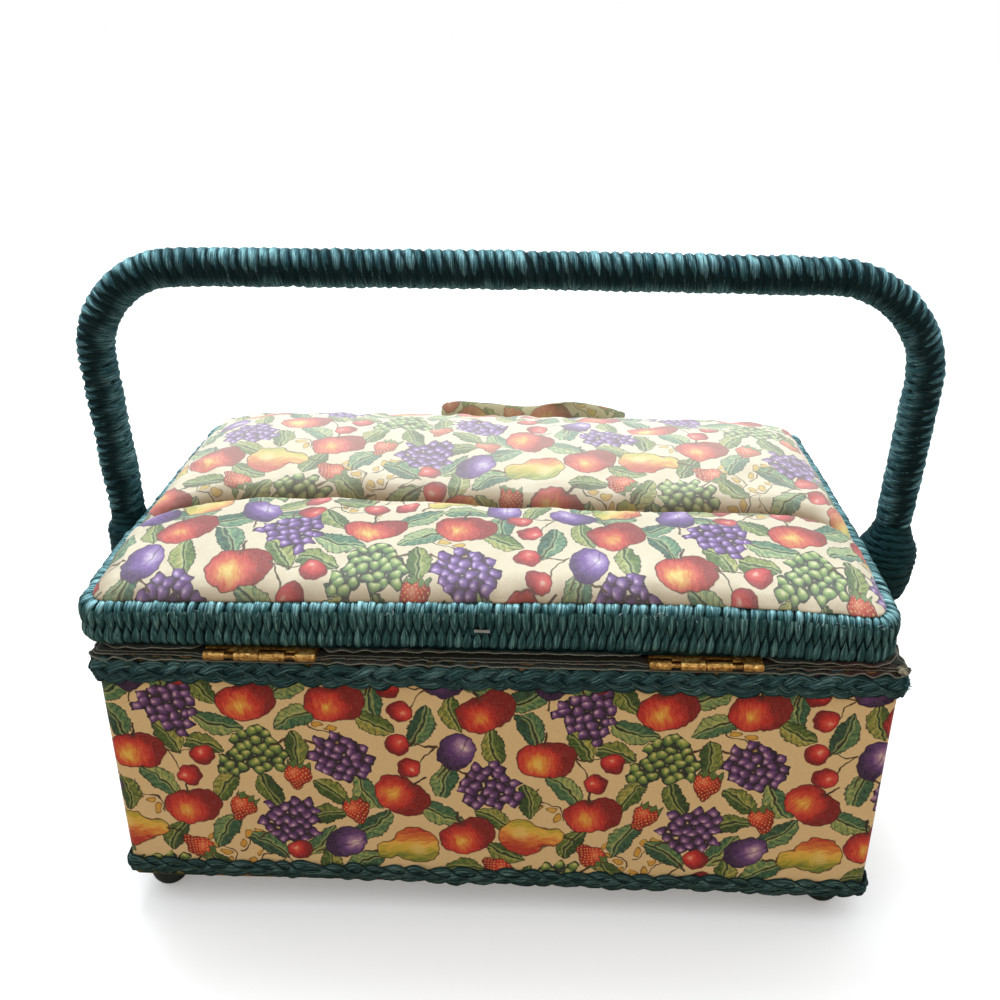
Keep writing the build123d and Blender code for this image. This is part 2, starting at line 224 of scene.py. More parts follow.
# ------------------------------------------------------------------ shader kit
class Sh:
    """A small expression writer for node trees."""

    def __init__(self, tree):
        self.t = tree

    def node(self, kind, **kw):
        n = self.t.nodes.new(kind)
        for k, v in kw.items():
            setattr(n, k, v)
        return n

    def put(self, sock, val):
        if isinstance(val, X):
            self.t.links.new(val.s, sock)
        elif isinstance(val, bpy.types.NodeSocket):
            self.t.links.new(val, sock)
        elif isinstance(val, (tuple, list)):
            want = len(sock.default_value)
            val = list(val) + [1.0] * (want - len(val)) if want == 4 and len(val) == 3 else list(val)
            sock.default_value = val[:want]
        else:
            sock.default_value = val

    def m(self, op, *a, clamp=False):
        n = self.node("ShaderNodeMath", operation=op, use_clamp=clamp)
        for i, x in enumerate(a):
            self.put(n.inputs[i], x)
        return X(self, n.outputs[0])

    def v(self, op, *a, scale=None):
        n = self.node("ShaderNodeVectorMath", operation=op)
        for i, x in enumerate(a):
            self.put(n.inputs[i], x)
        if scale is not None:
            self.put(n.inputs["Scale"], scale)
        out = n.outputs["Value"] if op in ("LENGTH", "DOT_PRODUCT", "DISTANCE") else n.outputs["Vector"]
        return X(self, out)

    def xyz(self, vec):
        n = self.node("ShaderNodeSeparateXYZ")
        self.put(n.inputs[0], vec)
        return X(self, n.outputs[0]), X(self, n.outputs[1]), X(self, n.outputs[2])

    def vec(self, x=0.0, y=0.0, z=0.0):
        n = self.node("ShaderNodeCombineXYZ")
        for i, q in enumerate((x, y, z)):
            self.put(n.inputs[i], q)
        return X(self, n.outputs[0])

    def mix(self, f, a, b, kind="MIX"):
        n = self.node("ShaderNodeMix", data_type="RGBA", blend_type=kind)
        self.put(n.inputs[0], f)
        self.put(n.inputs[6], a)
        self.put(n.inputs[7], b)
        return X(self, n.outputs[2])

    def mixf(self, f, a, b):
        n = self.node("ShaderNodeMix", data_type="FLOAT")
        self.put(n.inputs[0], f)
        self.put(n.inputs[2], a)
        self.put(n.inputs[3], b)
        return X(self, n.outputs[0])

    def mixv(self, f, a, b):
        n = self.node("ShaderNodeMix", data_type="VECTOR")
        n.factor_mode = "UNIFORM"
        self.put(n.inputs[0], f)
        self.put(n.inputs[4], a)
        self.put(n.inputs[5], b)
        return X(self, n.outputs[1])

    def ramp(self, f, stops, mode="LINEAR"):
        n = self.node("ShaderNodeValToRGB")
        n.color_ramp.interpolation = mode
        e = n.color_ramp.elements
        while len(e) < len(stops):
            e.new(0.5)
        for i, (p, c) in enumerate(stops):
            e[i].position = p
            e[i].color = (*c, 1.0) if len(c) == 3 else c
        self.put(n.inputs[0], f)
        return X(self, n.outputs[0])

    def noise(self, vec, scale, detail=2.0, rough=0.5, dist=0.0, dims="3D", w=None):
        n = self.node("ShaderNodeTexNoise", noise_dimensions=dims)
        if vec is not None:
            self.put(n.inputs["Vector"], vec)
        self.put(n.inputs["Scale"], scale)
        self.put(n.inputs["Detail"], detail)
        self.put(n.inputs["Roughness"], rough)
        self.put(n.inputs["Distortion"], dist)
        return X(self, n.outputs[0])

    def step(self, x, lo, hi, a=0.0, b=1.0, kind="LINEAR"):
        n = self.node("ShaderNodeMapRange", interpolation_type=kind)
        n.clamp = True
        for i, q in enumerate((x, lo, hi, a, b)):
            self.put(n.inputs[i], q)
        return X(self, n.outputs[0])


class X:
    def __init__(self, sh, s):
        self.sh, self.s = sh, s

    def __add__(self, o): return self.sh.m("ADD", self, o)
    def __radd__(self, o): return self.sh.m("ADD", o, self)
    def __sub__(self, o): return self.sh.m("SUBTRACT", self, o)
    def __rsub__(self, o): return self.sh.m("SUBTRACT", o, self)
    def __mul__(self, o): return self.sh.m("MULTIPLY", self, o)
    def __rmul__(self, o): return self.sh.m("MULTIPLY", o, self)
    def __truediv__(self, o): return self.sh.m("DIVIDE", self, o)
    def __neg__(self): return self.sh.m("MULTIPLY", self, -1.0)
    def abs(self): return self.sh.m("ABSOLUTE", self)
    def sin(self): return self.sh.m("SINE", self)
    def min(self, o): return self.sh.m("MINIMUM", self, o)
    def max(self, o): return self.sh.m("MAXIMUM", self, o)
    def smin(self, o, k): return self.sh.m("SMOOTH_MIN", self, o, k)
    def sq(self): return self.sh.m("MULTIPLY", self, self)
    def root(self): return self.sh.m("SQRT", self)


def lin(r, g, b):
    """sRGB 0-255 to linear."""
    out = []
    for c in (r, g, b):
        c = c / 255.0
        out.append(c / 12.92 if c <= 0.04045 else ((c + 0.055) / 1.055) ** 2.4)
    return tuple(out)


def material(name):
    mat = bpy.data.materials.new(name)
    mat.use_nodes = True
    mat.node_tree.nodes.clear()
    sh = Sh(mat.node_tree)
    return mat, sh


def surface(sh, color, rough, bump=None, strength=0.3, distance=0.001, **const):
    out = None
    normal = None
    if bump is not None:
        b = sh.node("ShaderNodeBump")
        sh.put(b.inputs["Strength"], strength)
        sh.put(b.inputs["Distance"], distance)
        sh.put(b.inputs["Height"], bump)
        normal = b.outputs[0]
    p = sh.node("ShaderNodeBsdfPrincipled")
    sh.put(p.inputs["Base Color"], color)
    sh.put(p.inputs["Roughness"], rough)
    for k, v in const.items():
        sh.put(p.inputs[k.replace("_", " ")], v)
    if normal is not None:
        sh.t.links.new(normal, p.inputs["Normal"])
    out = sh.node("ShaderNodeOutputMaterial")
    sh.t.links.new(p.outputs[0], out.inputs[0])
    return p


# ------------------------------------------------------------------ fruit print
# One repeat is TX by TY millimetres.  The motifs, generic fruits and leaves,
# are laid out here by a seeded relaxation and drawn by distance functions.
TX, TY = 152.0, 118.0


def layout():
    r = np.random.RandomState(23)
    kinds = [("round", 12.0, 8), ("pear", 14.0, 4), ("grape", 13.5, 6), ("cherry", 9.0, 6),
             ("berry", 7.5, 6), ("plum", 9.5, 5)]
    items = [(k, rad) for k, rad, n in kinds for _ in range(n)]
    n = len(items)
    rad = np.array([b for _, b in items])
    order = r.permutation(n)
    items, rad = [items[i] for i in order], rad[order]
    p = r.uniform(0, 1, (n, 2)) * [TX, TY]
    size = np.array([TX, TY])
    for it in range(400):
        d = p[:, None] - p[None]
        d -= size * np.round(d / size)
        dist = np.linalg.norm(d, axis=-1) + np.eye(n) * 1e6
        want = (rad[:, None] + rad[None]) * 0.98
        same = np.array([[items[i][0] == items[j][0] for j in range(n)] for i in range(n)])
        want = np.where(same, np.maximum(want * 1.35, 27.0), want)
        push = np.clip(want - dist, 0, None) / want
        p = (p + (d / dist[..., None] * push[..., None]).sum(1) * 1.3) % size
    out = {}
    for i, (k, _) in enumerate(items):
        if k == "grape":
            a = r.uniform(0.15, 2.9) * (1 if len(out.get(k, [])) % 3 else -1)
        elif k == "round":
            a = r.uniform(-0.7, 0.7)
        else:
            a = r.uniform(-2.6, 2.6)
        out.setdefault(k, []).append((p[i, 0], p[i, 1], a))
    # leaves go where they are most in the open, their stem end at a fruit
    leaf, taken = [], []
    for turn in range(46):
        best = None
        for _ in range(60):
            i = r.randint(n)
            a = r.uniform(-np.pi, np.pi)
            reach = rad[i] * 0.80 + 6.5
            c = p[i] + reach * np.array([-np.sin(a), np.cos(a)])
            d = p - c
            d -= size * np.round(d / size)
            cover = (np.linalg.norm(d, axis=1) - rad * 0.85)
            score = np.clip(cover, -8, 9).min()
            for t in taken:
                dd = np.array(t) - c
                dd -= size * np.round(dd / size)
                score = min(score, np.linalg.norm(dd) - 9.5)
            if best is None or score > best[0]:
                best = (score, c % size, a)
        taken.append(tuple(best[1]))
        leaf.append((best[1][0], best[1][1], best[2]))
    out["leafa"], out["leafb"] = leaf[::2], leaf[1::2]
    twig = []
    for _ in range(9):
        best = None
        for _ in range(80):
            c = r.uniform(0, 1, 2) * size
            d = p - c
            d -= size * np.round(d / size)
            score = (np.linalg.norm(d, axis=1) - rad).min()
            for t in taken:
                dd = np.array(t) - c
                dd -= size * np.round(dd / size)
                score = min(score, np.linalg.norm(dd) - 5)
            if best is None or score > best[0]:
                best = (score, c, r.uniform(-3, 3))
        taken.append(tuple(best[1]))
        twig.append((best[1][0], best[1][1], best[2]))
    out["twig"] = twig
    return out


def print_group():
    g = bpy.data.node_groups.new("fruit_print", "ShaderNodeTree")
    g.interface.new_socket("Vector", in_out="INPUT", socket_type="NodeSocketVector")
    g.interface.new_socket("Color", in_out="OUTPUT", socket_type="NodeSocketColor")
    sh = Sh(g)
    gi = sh.node("NodeGroupInput")
    p = X(sh, gi.outputs[0])
    lay = layout()
    wob = sh.node("ShaderNodeTexNoise", noise_dimensions="2D")
    sh.put(wob.inputs["Vector"], p)
    sh.put(wob.inputs["Scale"], 0.22)
    sh.put(wob.inputs["Detail"], 1.0)
    shift = sh.v("MULTIPLY_ADD", X(sh, wob.outputs[1]), (2.4, 2.4, 0.0), (-1.2, -1.2, 0.0))
    p = sh.v("ADD", p, shift)
    paint = sh.noise(p, 0.55, 3.0, 0.62, 0.3, "2D")          # brush mottling
    fine = sh.noise(p, 2.6, 1.0, 0.5, 0.0, "2D")             # ink grain
    col = sh.mix(paint, lin(250, 240, 208), lin(244, 228, 190))

    def nearest(kind):
        """Local coordinates, the turn and a random number of the nearest motif."""
        best_d = best_v = None
        for x, y, a in lay[kind]:
            d = sh.v("SUBTRACT", p, (x, y, -a * 1e-4))
            d = sh.v("WRAP", d, (TX / 2, TY / 2, 50.0), (-TX / 2, -TY / 2, -50.0))
            l = sh.v("LENGTH", d)
            if best_d is None:
                best_d, best_v = l, d
            else:
                near = sh.m("LESS_THAN", l, best_d)
                best_v = sh.mixv(near, best_v, d)
                best_d = best_d.min(l)
        z = sh.xyz(best_v)[2]
        a = z * 1e4
        rot = sh.node("ShaderNodeVectorRotate", rotation_type="Z_AXIS", invert=True)
        sh.put(rot.inputs["Vector"], best_v)
        sh.put(rot.inputs["Angle"], a)
        wn = sh.node("ShaderNodeTexWhiteNoise", noise_dimensions="1D")
        sh.put(wn.inputs["W"], a)
        x, y, _ = sh.xyz(X(sh, rot.outputs[0]))
        return x, y, a, X(sh, wn.outputs["Value"]), X(sh, rot.outputs[0])

    def over(base, d, c, edge=None, line=0.42, soft=0.16):
        """Paint colour c with a dark outline where d < 0."""
        if edge is not None:
            c = sh.mix(sh.step(d, -line - soft, -line + soft), c, edge)
        return sh.mix(sh.step(d, soft, -soft), base, c)

    def leaf(base, kind, hl, hw, tones):
        x, y, a, rnd, _ = nearest(kind)
        rr = (hl * hl + hw * hw) / (2 * hw)
        ax = x.abs()
        bent = x + y.sq() * 0.018 - 0.8
        ab = bent.abs()
        saw = sh.m("PINGPONG", y + ab * 0.6, 0.95)
        d = ((ab + (rr - hw)).sq() + y.sq()).root() - rr + saw * 0.42
        side = sh.step(bent, -0.6, 0.6)
        rib = sh.m("PINGPONG", y - ab * 0.85, 1.35)
        t = paint * 0.75 + side * 0.28 + rnd * 0.25 - 0.12
        c = sh.ramp(t, tones)
        c = sh.mix(sh.step(rib, 0.34, 0.12) * 0.55, c, lin(30, 66, 58))
        c = sh.mix(sh.step(ab, 0.34, 0.16), c, lin(40, 72, 58))
        lit = sh.step((ab - 0.75).abs(), 0.45, 0.1) * 0.5
        c = sh.mix(lit, c, lin(214, 224, 160))
        c = over(base, d, c, lin(34, 62, 52), 0.36)
        # stalk
        stalk = (bent.abs() - 0.32).max(y.abs() - (hl + 2.6))
        return over(c, stalk.max(y - 0.0), lin(62, 58, 40)) if kind == "leafa" else c

    g1 = [(0.18, lin(38, 88, 74)), (0.42, lin(74, 134, 108)), (0.62, lin(124, 170, 128)), (0.85, lin(196, 212, 146))]
    g2 = [(0.18, lin(46, 88, 52)), (0.45, lin(92, 130, 66)), (0.66, lin(146, 168, 92)), (0.88, lin(212, 208, 130))]

    # twigs with tiny buds
    x, y, a, rnd, _ = nearest("twig")
    wave = (x * 0.42).sin() * 2.2
    d = ((y - wave).abs() - 0.3).max(x.abs() - 9.0)
    col = over(col, d, lin(84, 60, 44))
    bx = sh.m("PINGPONG", x + 4.5, 4.5) - 2.2
    bud = (bx.sq() + (y - wave - 2.6).sq()).root() - 1.75
    bud = bud.max(x.abs() - 9.5)
    col = over(col, bud, sh.mix(paint, lin(228, 176, 72), lin(238, 214, 120)), lin(120, 92, 40), 0.3)

    col = leaf(col, "leafa", 10.5, 5.0, g1)
    col = leaf(col, "leafb", 9.0, 4.6, g2)

    # grapes, purple or green by the sign of their turn
    x, y, a, rnd, loc = nearest("grape")
    off = rnd * 60.0
    vq = sh.v("ADD", loc, sh.vec(off, off, 0.0))
    flat = sh.v("MULTIPLY", vq, (1.0, 1.0, 0.0))
    vo = sh.node("ShaderNodeTexVoronoi", voronoi_dimensions="2D", feature="F1")
    sh.put(vo.inputs["Vector"], flat)
    sh.put(vo.inputs["Scale"], 1 / 3.9)
    sh.put(vo.inputs["Randomness"], 0.42)
    centre = X(sh, vo.outputs["Position"])
    rel = sh.v("SUBTRACT", flat, centre)
    rx, ry, _ = sh.xyz(rel)
    cl = sh.v("SUBTRACT", centre, sh.vec(off, off, 0.0))
    cx, cy, _ = sh.xyz(cl)
    taper = sh.m("MULTIPLY_ADD", cy, 0.045, 1.0)
    span = ((cx / taper).sq() + (cy * 0.82).sq()).root()
    span = sh.m("GREATER_THAN", span, 10.2) * 12.0 - 6.0
    ball = (rx.sq() + ry.sq()).root()
    d = (ball - 2.15).max(span)
    hx = ((rx + 0.60).sq() + (ry - 0.65).sq()).root()
    t = hx * 0.34 + (paint - 0.5) * 0.35
    purple = sh.ramp(t, [(0.06, lin(232, 214, 238)), (0.22, lin(172, 138, 200)), (0.52, lin(122, 84, 160)), (0.9, lin(74, 46, 112))])
    green = sh.ramp(t, [(0.06, lin(238, 240, 190)), (0.25, lin(188, 208, 130)), (0.55, lin(128, 168, 100)), (0.9, lin(62, 104, 72))])
    gc = sh.mix(sh.m("GREATER_THAN", a, 0.0), green, purple)
    fill = ((x / 1.0).sq() + (y * 0.82).sq()).root() - 11.2
    dark = sh.mix(sh.m("GREATER_THAN", a, 0.0), lin(52, 84, 58), lin(52, 30, 78))
    gd = (ball - 2.8).max(span)
    col = over(col, gd, dark)
    col = over(col, d, gc, lin(58, 36, 70), 0.30)
    stalk = ((x - y * 0.14 + 0.6).abs() - 0.45).max((y - 13.5).abs() - 3.4)
    col = over(col, stalk, lin(92, 66, 44))

    # plums
    x, y, a, rnd, _ = nearest("plum")
    d = (x.sq() + (y * 1.28).sq()).root() - 8.8
    t = ((x + 2.6).sq() + (y * 1.1 - 2.0).sq()).root() * 0.105 + (paint - 0.5) * 0.35
    c = sh.ramp(t, [(0.05, lin(240, 228, 244)), (0.25, lin(190, 162, 214)), (0.5, lin(128, 92, 172)), (0.95, lin(70, 42, 106))])
    seam = (x * 0.35 + y - 1.2 + x.sq() * 0.03).abs()
    c = sh.mix(sh.step(seam, 0.36, 0.12) * 0.6, c, lin(66, 40, 96))
    col = over(col, d, c, lin(56, 34, 80), 0.40)
    stalk = ((y + x * 0.25).abs() - 0.38).max((x - 10.4).abs() - 2.6)
    col = over(col, stalk, lin(88, 66, 46))

    # pears
    x, y, a, rnd, _ = nearest("pear")
    xs = x + y.sq() * 0.006
    low = (xs.sq() + (y + 4.6).sq()).root() - 8.9
    top = (xs.sq() + (y - 7.2).sq()).root() - 4.3
    d = low.smin(top, 6.5)
    strokes = sh.noise(sh.vec(x * 1.6, y * 0.35, rnd * 9.0), 0.6, 2.0, 0.6)
    t = x * 0.052 + 0.5 + (strokes - 0.5) * 0.55 + (rnd - 0.5) * 0.35 - y * 0.012
    c = sh.ramp(t, [(0.1, lin(132, 160, 76)), (0.32, lin(216, 206, 92)), (0.5, lin(252, 222, 120)), (0.68, lin(238, 158, 84)), (0.9, lin(208, 78, 62))])
    c = sh.mix(sh.step(((x + 2.4).sq() + (y + 5.0).sq()).root(), 4.2, 1.0) * 0.6, c, lin(255, 240, 176))
    col = over(col, d, c, lin(116, 74, 40), 0.42)
    stalk = ((x - (y - 11.5) * 0.3).abs() - 0.5).max((y - 13.2).abs() - 2.6)
    col = over(col, stalk, lin(78, 58, 40))

    # apples and peaches
    x, y, a, rnd, _ = nearest("round")
    xx = x * (1.0 - y * 0.010)
    d = (((xx.abs() - 2.9)).sq() + (y * 1.04).sq()).root() - 8.3
    ang = sh.noise(sh.vec(x * 1.5, y * 0.32, rnd * 7.0), 0.62, 2.0, 0.62)
    glow = ((x + 3.4).sq() + (y + 1.4).sq()).root()
    t = glow * 0.088 + 0.08 + (ang - 0.5) * 0.62 - (rnd - 0.5) * 0.30
    c = sh.ramp(t, [(0.10, lin(255, 224, 128)), (0.28, lin(246, 176, 92)), (0.45, lin(236, 112, 82)), (0.65, lin(218, 70, 66)), (0.95, lin(158, 38, 44))])
    dimple = (x.sq() + (y - 7.4).sq() * 1.6).root()
    c = sh.mix(sh.step(dimple, 3.4, 0.6) * 0.75, c, lin(112, 46, 36))
    col = over(col, d, c, lin(112, 34, 34), 0.42)
    stalk = ((x - (y - 7.0) * 0.28).abs() - 0.48).max((y - 9.9).abs() - 3.0)
    col = over(col, stalk, lin(70, 52, 38))

    # cherries in pairs
    x, y, a, rnd, _ = nearest("cherry")
    ax = x.abs()
    d = ((ax - 5.6).sq() + (y + 2.0).sq()).root() - 4.7
    lx = sh.m("PINGPONG", x + 50.4, 1000.0)
    t = ((ax - 6.6).sq() + (y + 0.7).sq()).root() * 0.19 + (paint - 0.5) * 0.4
    c = sh.ramp(t, [(0.04, lin(252, 196, 176)), (0.22, lin(238, 104, 98)), (0.55, lin(212, 56, 66)), (0.95, lin(150, 28, 46))])
    bow = ax - (1.0 - (y - 2.4) * 0.105).sq() * 5.6
    stem = (bow.abs() - 0.34).max((y - 7.0).abs() - 4.7)
    col = over(col, stem, lin(84, 66, 42))
    col = over(col, d, c, lin(120, 26, 40), 0.36)

    # strawberries
    x, y, a, rnd, _ = nearest("berry")
    d = (x.sq() + (y - 1.2).sq()).root() - 5.2
    tip = (x.sq() + (y + 4.8).sq()).root() - 1.9
    d = d.smin(tip, 4.5)
    t = ((x + 1.4).sq() + (y - 1.6).sq()).root() * 0.15 + (paint - 0.5) * 0.4
    c = sh.ramp(t, [(0.05, lin(250, 158, 128)), (0.35, lin(228, 84, 70)), (0.8, lin(178, 40, 46))])
    seeds = ((x + y) * 1.75).sin() * ((x - y) * 1.75).sin()
    c = sh.mix(sh.step(seeds.abs(), 0.72, 0.9), c, lin(248, 214, 130))
    col = over(col, d, c, lin(118, 28, 36), 0.36)
    cap = (sh.m("PINGPONG", x + 20.0, 1.5) * 1.3 + (y - 5.4).abs() * 1.0 - 2.2).max(x.abs() - 4.4)
    col = over(col, cap, sh.mix(paint, lin(70, 118, 66), lin(140, 170, 100)), lin(40, 74, 46), 0.3)

    # ink grain over everything
    col = sh.mix(sh.step(fine, 0.35, 0.65) * 0.10, col, lin(120, 96, 84))
    go = sh.node("NodeGroupOutput")
    g.links.new(col.s, go.inputs[0])
    return g


PRINT = print_group()


def print_material(name, scale=(1.0, 1.0), shift=(0.0, 0.0), tint=(1.0, 1.0, 1.0), depth=1.12, pale=None, wash=lin(250, 240, 222)):
    """Woven cotton with the fruit print; UVs are in units of 100 mm."""
    mat, sh = material(name)
    uv = sh.node("ShaderNodeUVMap", uv_map="weave")
    pos = sh.v("MULTIPLY_ADD", X(sh, uv.outputs[0]), (100.0 * scale[0], 100.0 * scale[1], 0.0), (shift[0], shift[1], 0.0))
    gr = sh.node("ShaderNodeGroup")
    gr.node_tree = PRINT
    sh.put(gr.inputs[0], pos)
    ink = X(sh, gr.outputs[0])
    thread = sh.noise(sh.v("MULTIPLY", pos, (1.0, 0.12, 1.0)), 3.2, 2.0, 0.6, 0.0, "2D")
    cross = sh.noise(sh.v("MULTIPLY", pos, (0.12, 1.0, 1.0)), 3.2, 2.0, 0.6, 0.0, "2D")
    slub = (thread + cross) * 0.5
    c = sh.mix(sh.step(slub, 0.40, 0.62), ink, sh.mix(0.10, ink, lin(255, 250, 236)))
    gam = sh.node("ShaderNodeGamma")
    sh.put(gam.inputs[0], c)
    gam.inputs[1].default_value = depth
    c = sh.mix(0.94, X(sh, gam.outputs[0]), tint, "MULTIPLY")
    if pale:
        # washed out a little, more so where the point attribute is high: towards the lid's far half, and on the tab,
        # washed to a dark olive as painted shade where it arches
        fade = sh.node("ShaderNodeAttribute", attribute_name="fade_and_painted_light")
        c = sh.mix(sh.mixf(X(sh, fade.outputs["Fac"]), pale[0], pale[1]), c, wash)
    # painted shade: the cloth is darkened towards brown where the point attribute asks, in the lid's crease and along
    # its near rim, on the tab, and with glue on the box cloth's edges
    painted_shade = sh.node("ShaderNodeAttribute", attribute_name="painted_shade")
    c = sh.mix(X(sh, painted_shade.outputs["Fac"]), c, (0.30, 0.22, 0.15), "MULTIPLY")
    x, y, _ = sh.xyz(pos)
    weave = (x * 12.0).sin() * (y * 12.0).sin() * 0.5 + slub * 1.2
    rough = sh.step(slub, 0.3, 0.7, 0.80, 0.92)
    surface(sh, c, rough, weave, 0.30, 0.00018, Sheen_Weight=0.15, Sheen_Roughness=0.5, Specular_IOR_Level=0.25)
    return mat


def cord_material(name, dark, mid, light, rough=0.42, rows=7.0, frizz=0.5, bump=0.55, spec=0.5, gloss=0.3):
    """Twisted rayon raffia: fine fibres run along U (10 mm units), V goes round."""
    mat, sh = material(name)
    uv = sh.node("ShaderNodeUVMap", uv_map="weave")
    u, v, _ = sh.xyz(X(sh, uv.outputs[0]))
    vec = sh.vec(u * 1.1, v * rows * 2.2, 0.0)
    fib = sh.noise(vec, 1.0, 3.0, 0.62, 0.4, "2D")
    fine = sh.noise(sh.vec(u * 3.0, v * rows * 7.0, 3.3), 1.0, 2.0, 0.6, 0.2, "2D")
    tone = sh.noise(sh.vec(u * 0.33, v * 0.7, 7.7), 1.0, 2.0, 0.55, 0.0, "2D")
    t = fib * 0.74 + fine * 0.40 + tone * 0.20 - 0.17
    c = sh.ramp(t, [(0.20, dark), (0.50, mid), (0.80, light)])
    # painted highlight: paler, towards a light blue, where the point attribute is high, on the tops of the grip's loops
    # and of the rim's loops
    pale = sh.node("ShaderNodeAttribute", attribute_name="fade_and_painted_light")
    c = sh.mix(X(sh, pale.outputs["Fac"]) * sh.step(t, 0.37, 0.57, 0.14, 1.0), c, lin(172, 226, 233))
    # painted shade: strands are darker where they meet, near black in the gaps
    at = sh.node("ShaderNodeAttribute", attribute_name="strand")
    gap = sh.step(X(sh, at.outputs["Fac"]), 0.75, 0.15)
    c = sh.mix(gap * 0.90, c, (0.001, 0.004, 0.005))
    h = fib * 0.7 + fine * 0.45
    r = sh.mixf(gap, sh.step(fine, 0.3, 0.7, rough - 0.08, rough + 0.14), 0.85)
    surface(sh, c, r, h, bump, 0.0005, Specular_IOR_Level=spec, Specular_Tint=(0.42, 0.86, 0.95, 1.0), Metallic=gloss)
    return mat


def plain_material(name, a, b, scale=300.0, rough=(0.5, 0.6), bump=0.1, metallic=0.0, detail=4.0, dist=0.0003, **const):
    mat, sh = material(name)
    tc = sh.node("ShaderNodeTexCoord")
    n = sh.noise(X(sh, tc.outputs["Object"]), scale, detail, 0.6)
    c = sh.ramp(n, [(0.32, a), (0.68, b)])
    r = sh.step(n, 0.3, 0.7, rough[0], rough[1])
    surface(sh, c, r, n, bump, dist, Metallic=metallic, **const)
    return mat


TEAL = cord_material("teal_cord_mat", lin(3, 21, 25), lin(27, 76, 86), lin(188, 236, 242), 0.27, 6.0, bump=0.9, spec=0.7, gloss=0.5)
# painted shade: a darker copy of the teal cord, for the cuffs and the under-wrapping between the rim's stitches
TEAL_DARK = cord_material("teal_cord_dark_mat", lin(3, 17, 20), lin(14, 44, 48), lin(52, 104, 110), 0.42, 6.0, bump=0.9, spec=0.4, gloss=0.35)
BRAID = cord_material("teal_braid_mat", lin(8, 26, 27), lin(54, 88, 89), lin(142, 178, 174), 0.42, 9.0, bump=1.2, spec=0.4, gloss=0.18)

# How the lid's left end has been pulled out of square and its near side
# has bowed up: shifts in x, y and z at a plan point, for height z.


RIM_TOP_BOW = lerp_table([(-140, -1.6), (-126, -1.5), (-100, -0.9), (-66, -0.2), (-14, 0.8), (36, 1.7), (68, 1.7), (97, 0.6), (120, -0.9), (131, -1.6), (140, -1.8)])
RIM_FOOT_BOW = lerp_table([(-140, 0.0), (-99, 0.4), (-61, 0.6), (-14, 1.4), (58, 1.5), (100, -0.1), (134, -1.5), (140, -1.6)])


def lid_shift(x, y, z):
    out = np.interp(y, [-92, -40, -13, 16, 44, 66, 92], [4.3, 4.1, 2.8, 2.3, 1.6, 0.6, 0.5])
    left = smooth(-15, -128, x) * (0.58 + 0.42 * smooth(117.5, 121.5, z))
    corner = smooth(-122, -137, x) * smooth(-68, -83, y)
    right = smooth(96, 138, x) * smooth(-20, -70, y)
    high = smooth(119, 135, z)
    dz = (RIM_FOOT_BOW(x) * (1 - high) + RIM_TOP_BOW(x) * high) * smooth(-58, -82, y)
    return -out * left - 0.9 * corner - 1.1 * right, -0.5 * corner, dz


# ------------------------------------------------------------------ handle
def handle_path(step, z_low=128.0):
    """Centre line of the grip (x, z) upright, from the left cuff to the right, with tangents."""
    xl0, xl1, xr0, xr1, zt = -154.4, -155.8, 160.3, 160.0, 233.1
    P = [np.array(p) for p in ((xl0, 105.0), (xl1, zt), (xr0, zt), (xr1, 105.0))]
    R = (None, 36.0, 42.0, None)
    pts = [P[0]]
    for i in (1, 2):
        a = (P[i - 1] - P[i]) / np.linalg.norm(P[i - 1] - P[i])
        b = (P[i + 1] - P[i]) / np.linalg.norm(P[i + 1] - P[i])
        half = math.acos(float(a @ b)) / 2
        t = R[i] / math.tan(half)
        c = P[i] + (a + b) / np.linalg.norm(a + b) * R[i] / math.sin(half)
        s, e = P[i] + a * t, P[i] + b * t
        a0 = math.atan2(*(s - c)[::-1])
        a1 = math.atan2(*(e - c)[::-1])
        while a1 > a0:
            a1 -= 2 * math.pi
        for k in range(41):
            g = a0 + (a1 - a0) * k / 40
            pts.append(c + R[i] * np.array([math.cos(g), math.sin(g)]))
    pts.append(P[3])
    pts = np.array(pts)
    L = np.concatenate([[0], np.cumsum(np.linalg.norm(np.diff(pts, axis=0), axis=1))])
    s = np.arange(0, L[-1], 0.2)
    q = np.stack([np.interp(s, L, pts[:, i]) for i in range(2)], 1)
    keep = (q[:, 1] >= z_low) | ((s > 40) & (s < L[-1] - 40))
    q, s = q[keep], s[keep]
    L2 = s - s[0]
    n = int(L2[-1] / step)
    s2 = np.linspace(0, L2[-1], n)
    q = np.stack([np.interp(s2, L2, q[:, i]) for i in range(2)], 1)
    # the bar sags a little towards its corners
    q[:, 1] -= 1.0 * np.clip(np.abs(q[:, 0] - 2.0) / 150.0, 0, 1) ** 2 * smooth(190, 225, q[:, 1])
    k = 7
    pad = np.vstack([q[:1] + (q[:1] - q[1:2]) * np.arange(k, 0, -1)[:, None], q, q[-1:] + (q[-1:] - q[-2:-1]) * np.arange(1, k + 1)[:, None]])
    ker = np.hanning(2 * k + 3)[1:-1]
    ker /= ker.sum()
    T = np.gradient(pad, axis=0)
    T = np.stack([np.convolve(T[:, i], ker, "valid") for i in range(2)], 1)
    T /= np.linalg.norm(T, axis=1, keepdims=True)
    return q, T, s2


def tilt(p):
    """The upright handle leans towards the hinges about its pivots."""
    p = np.array(p, float)
    y, z = p[..., 1].copy(), p[..., 2] - PIVOT_Z
    p[..., 1] = y * math.cos(TILT) - z * math.sin(TILT)
    p[..., 2] = y * math.sin(TILT) + z * math.cos(TILT) + PIVOT_Z
    return p


def lobe(f, power=0.5):
    """Half-round section of a cord laid beside others; f is its phase in turns."""
    g = 2 * (f - np.floor(f)) - 1
    return (1 - g * g).clip(0, 1) ** power


FILL_R = 5.6


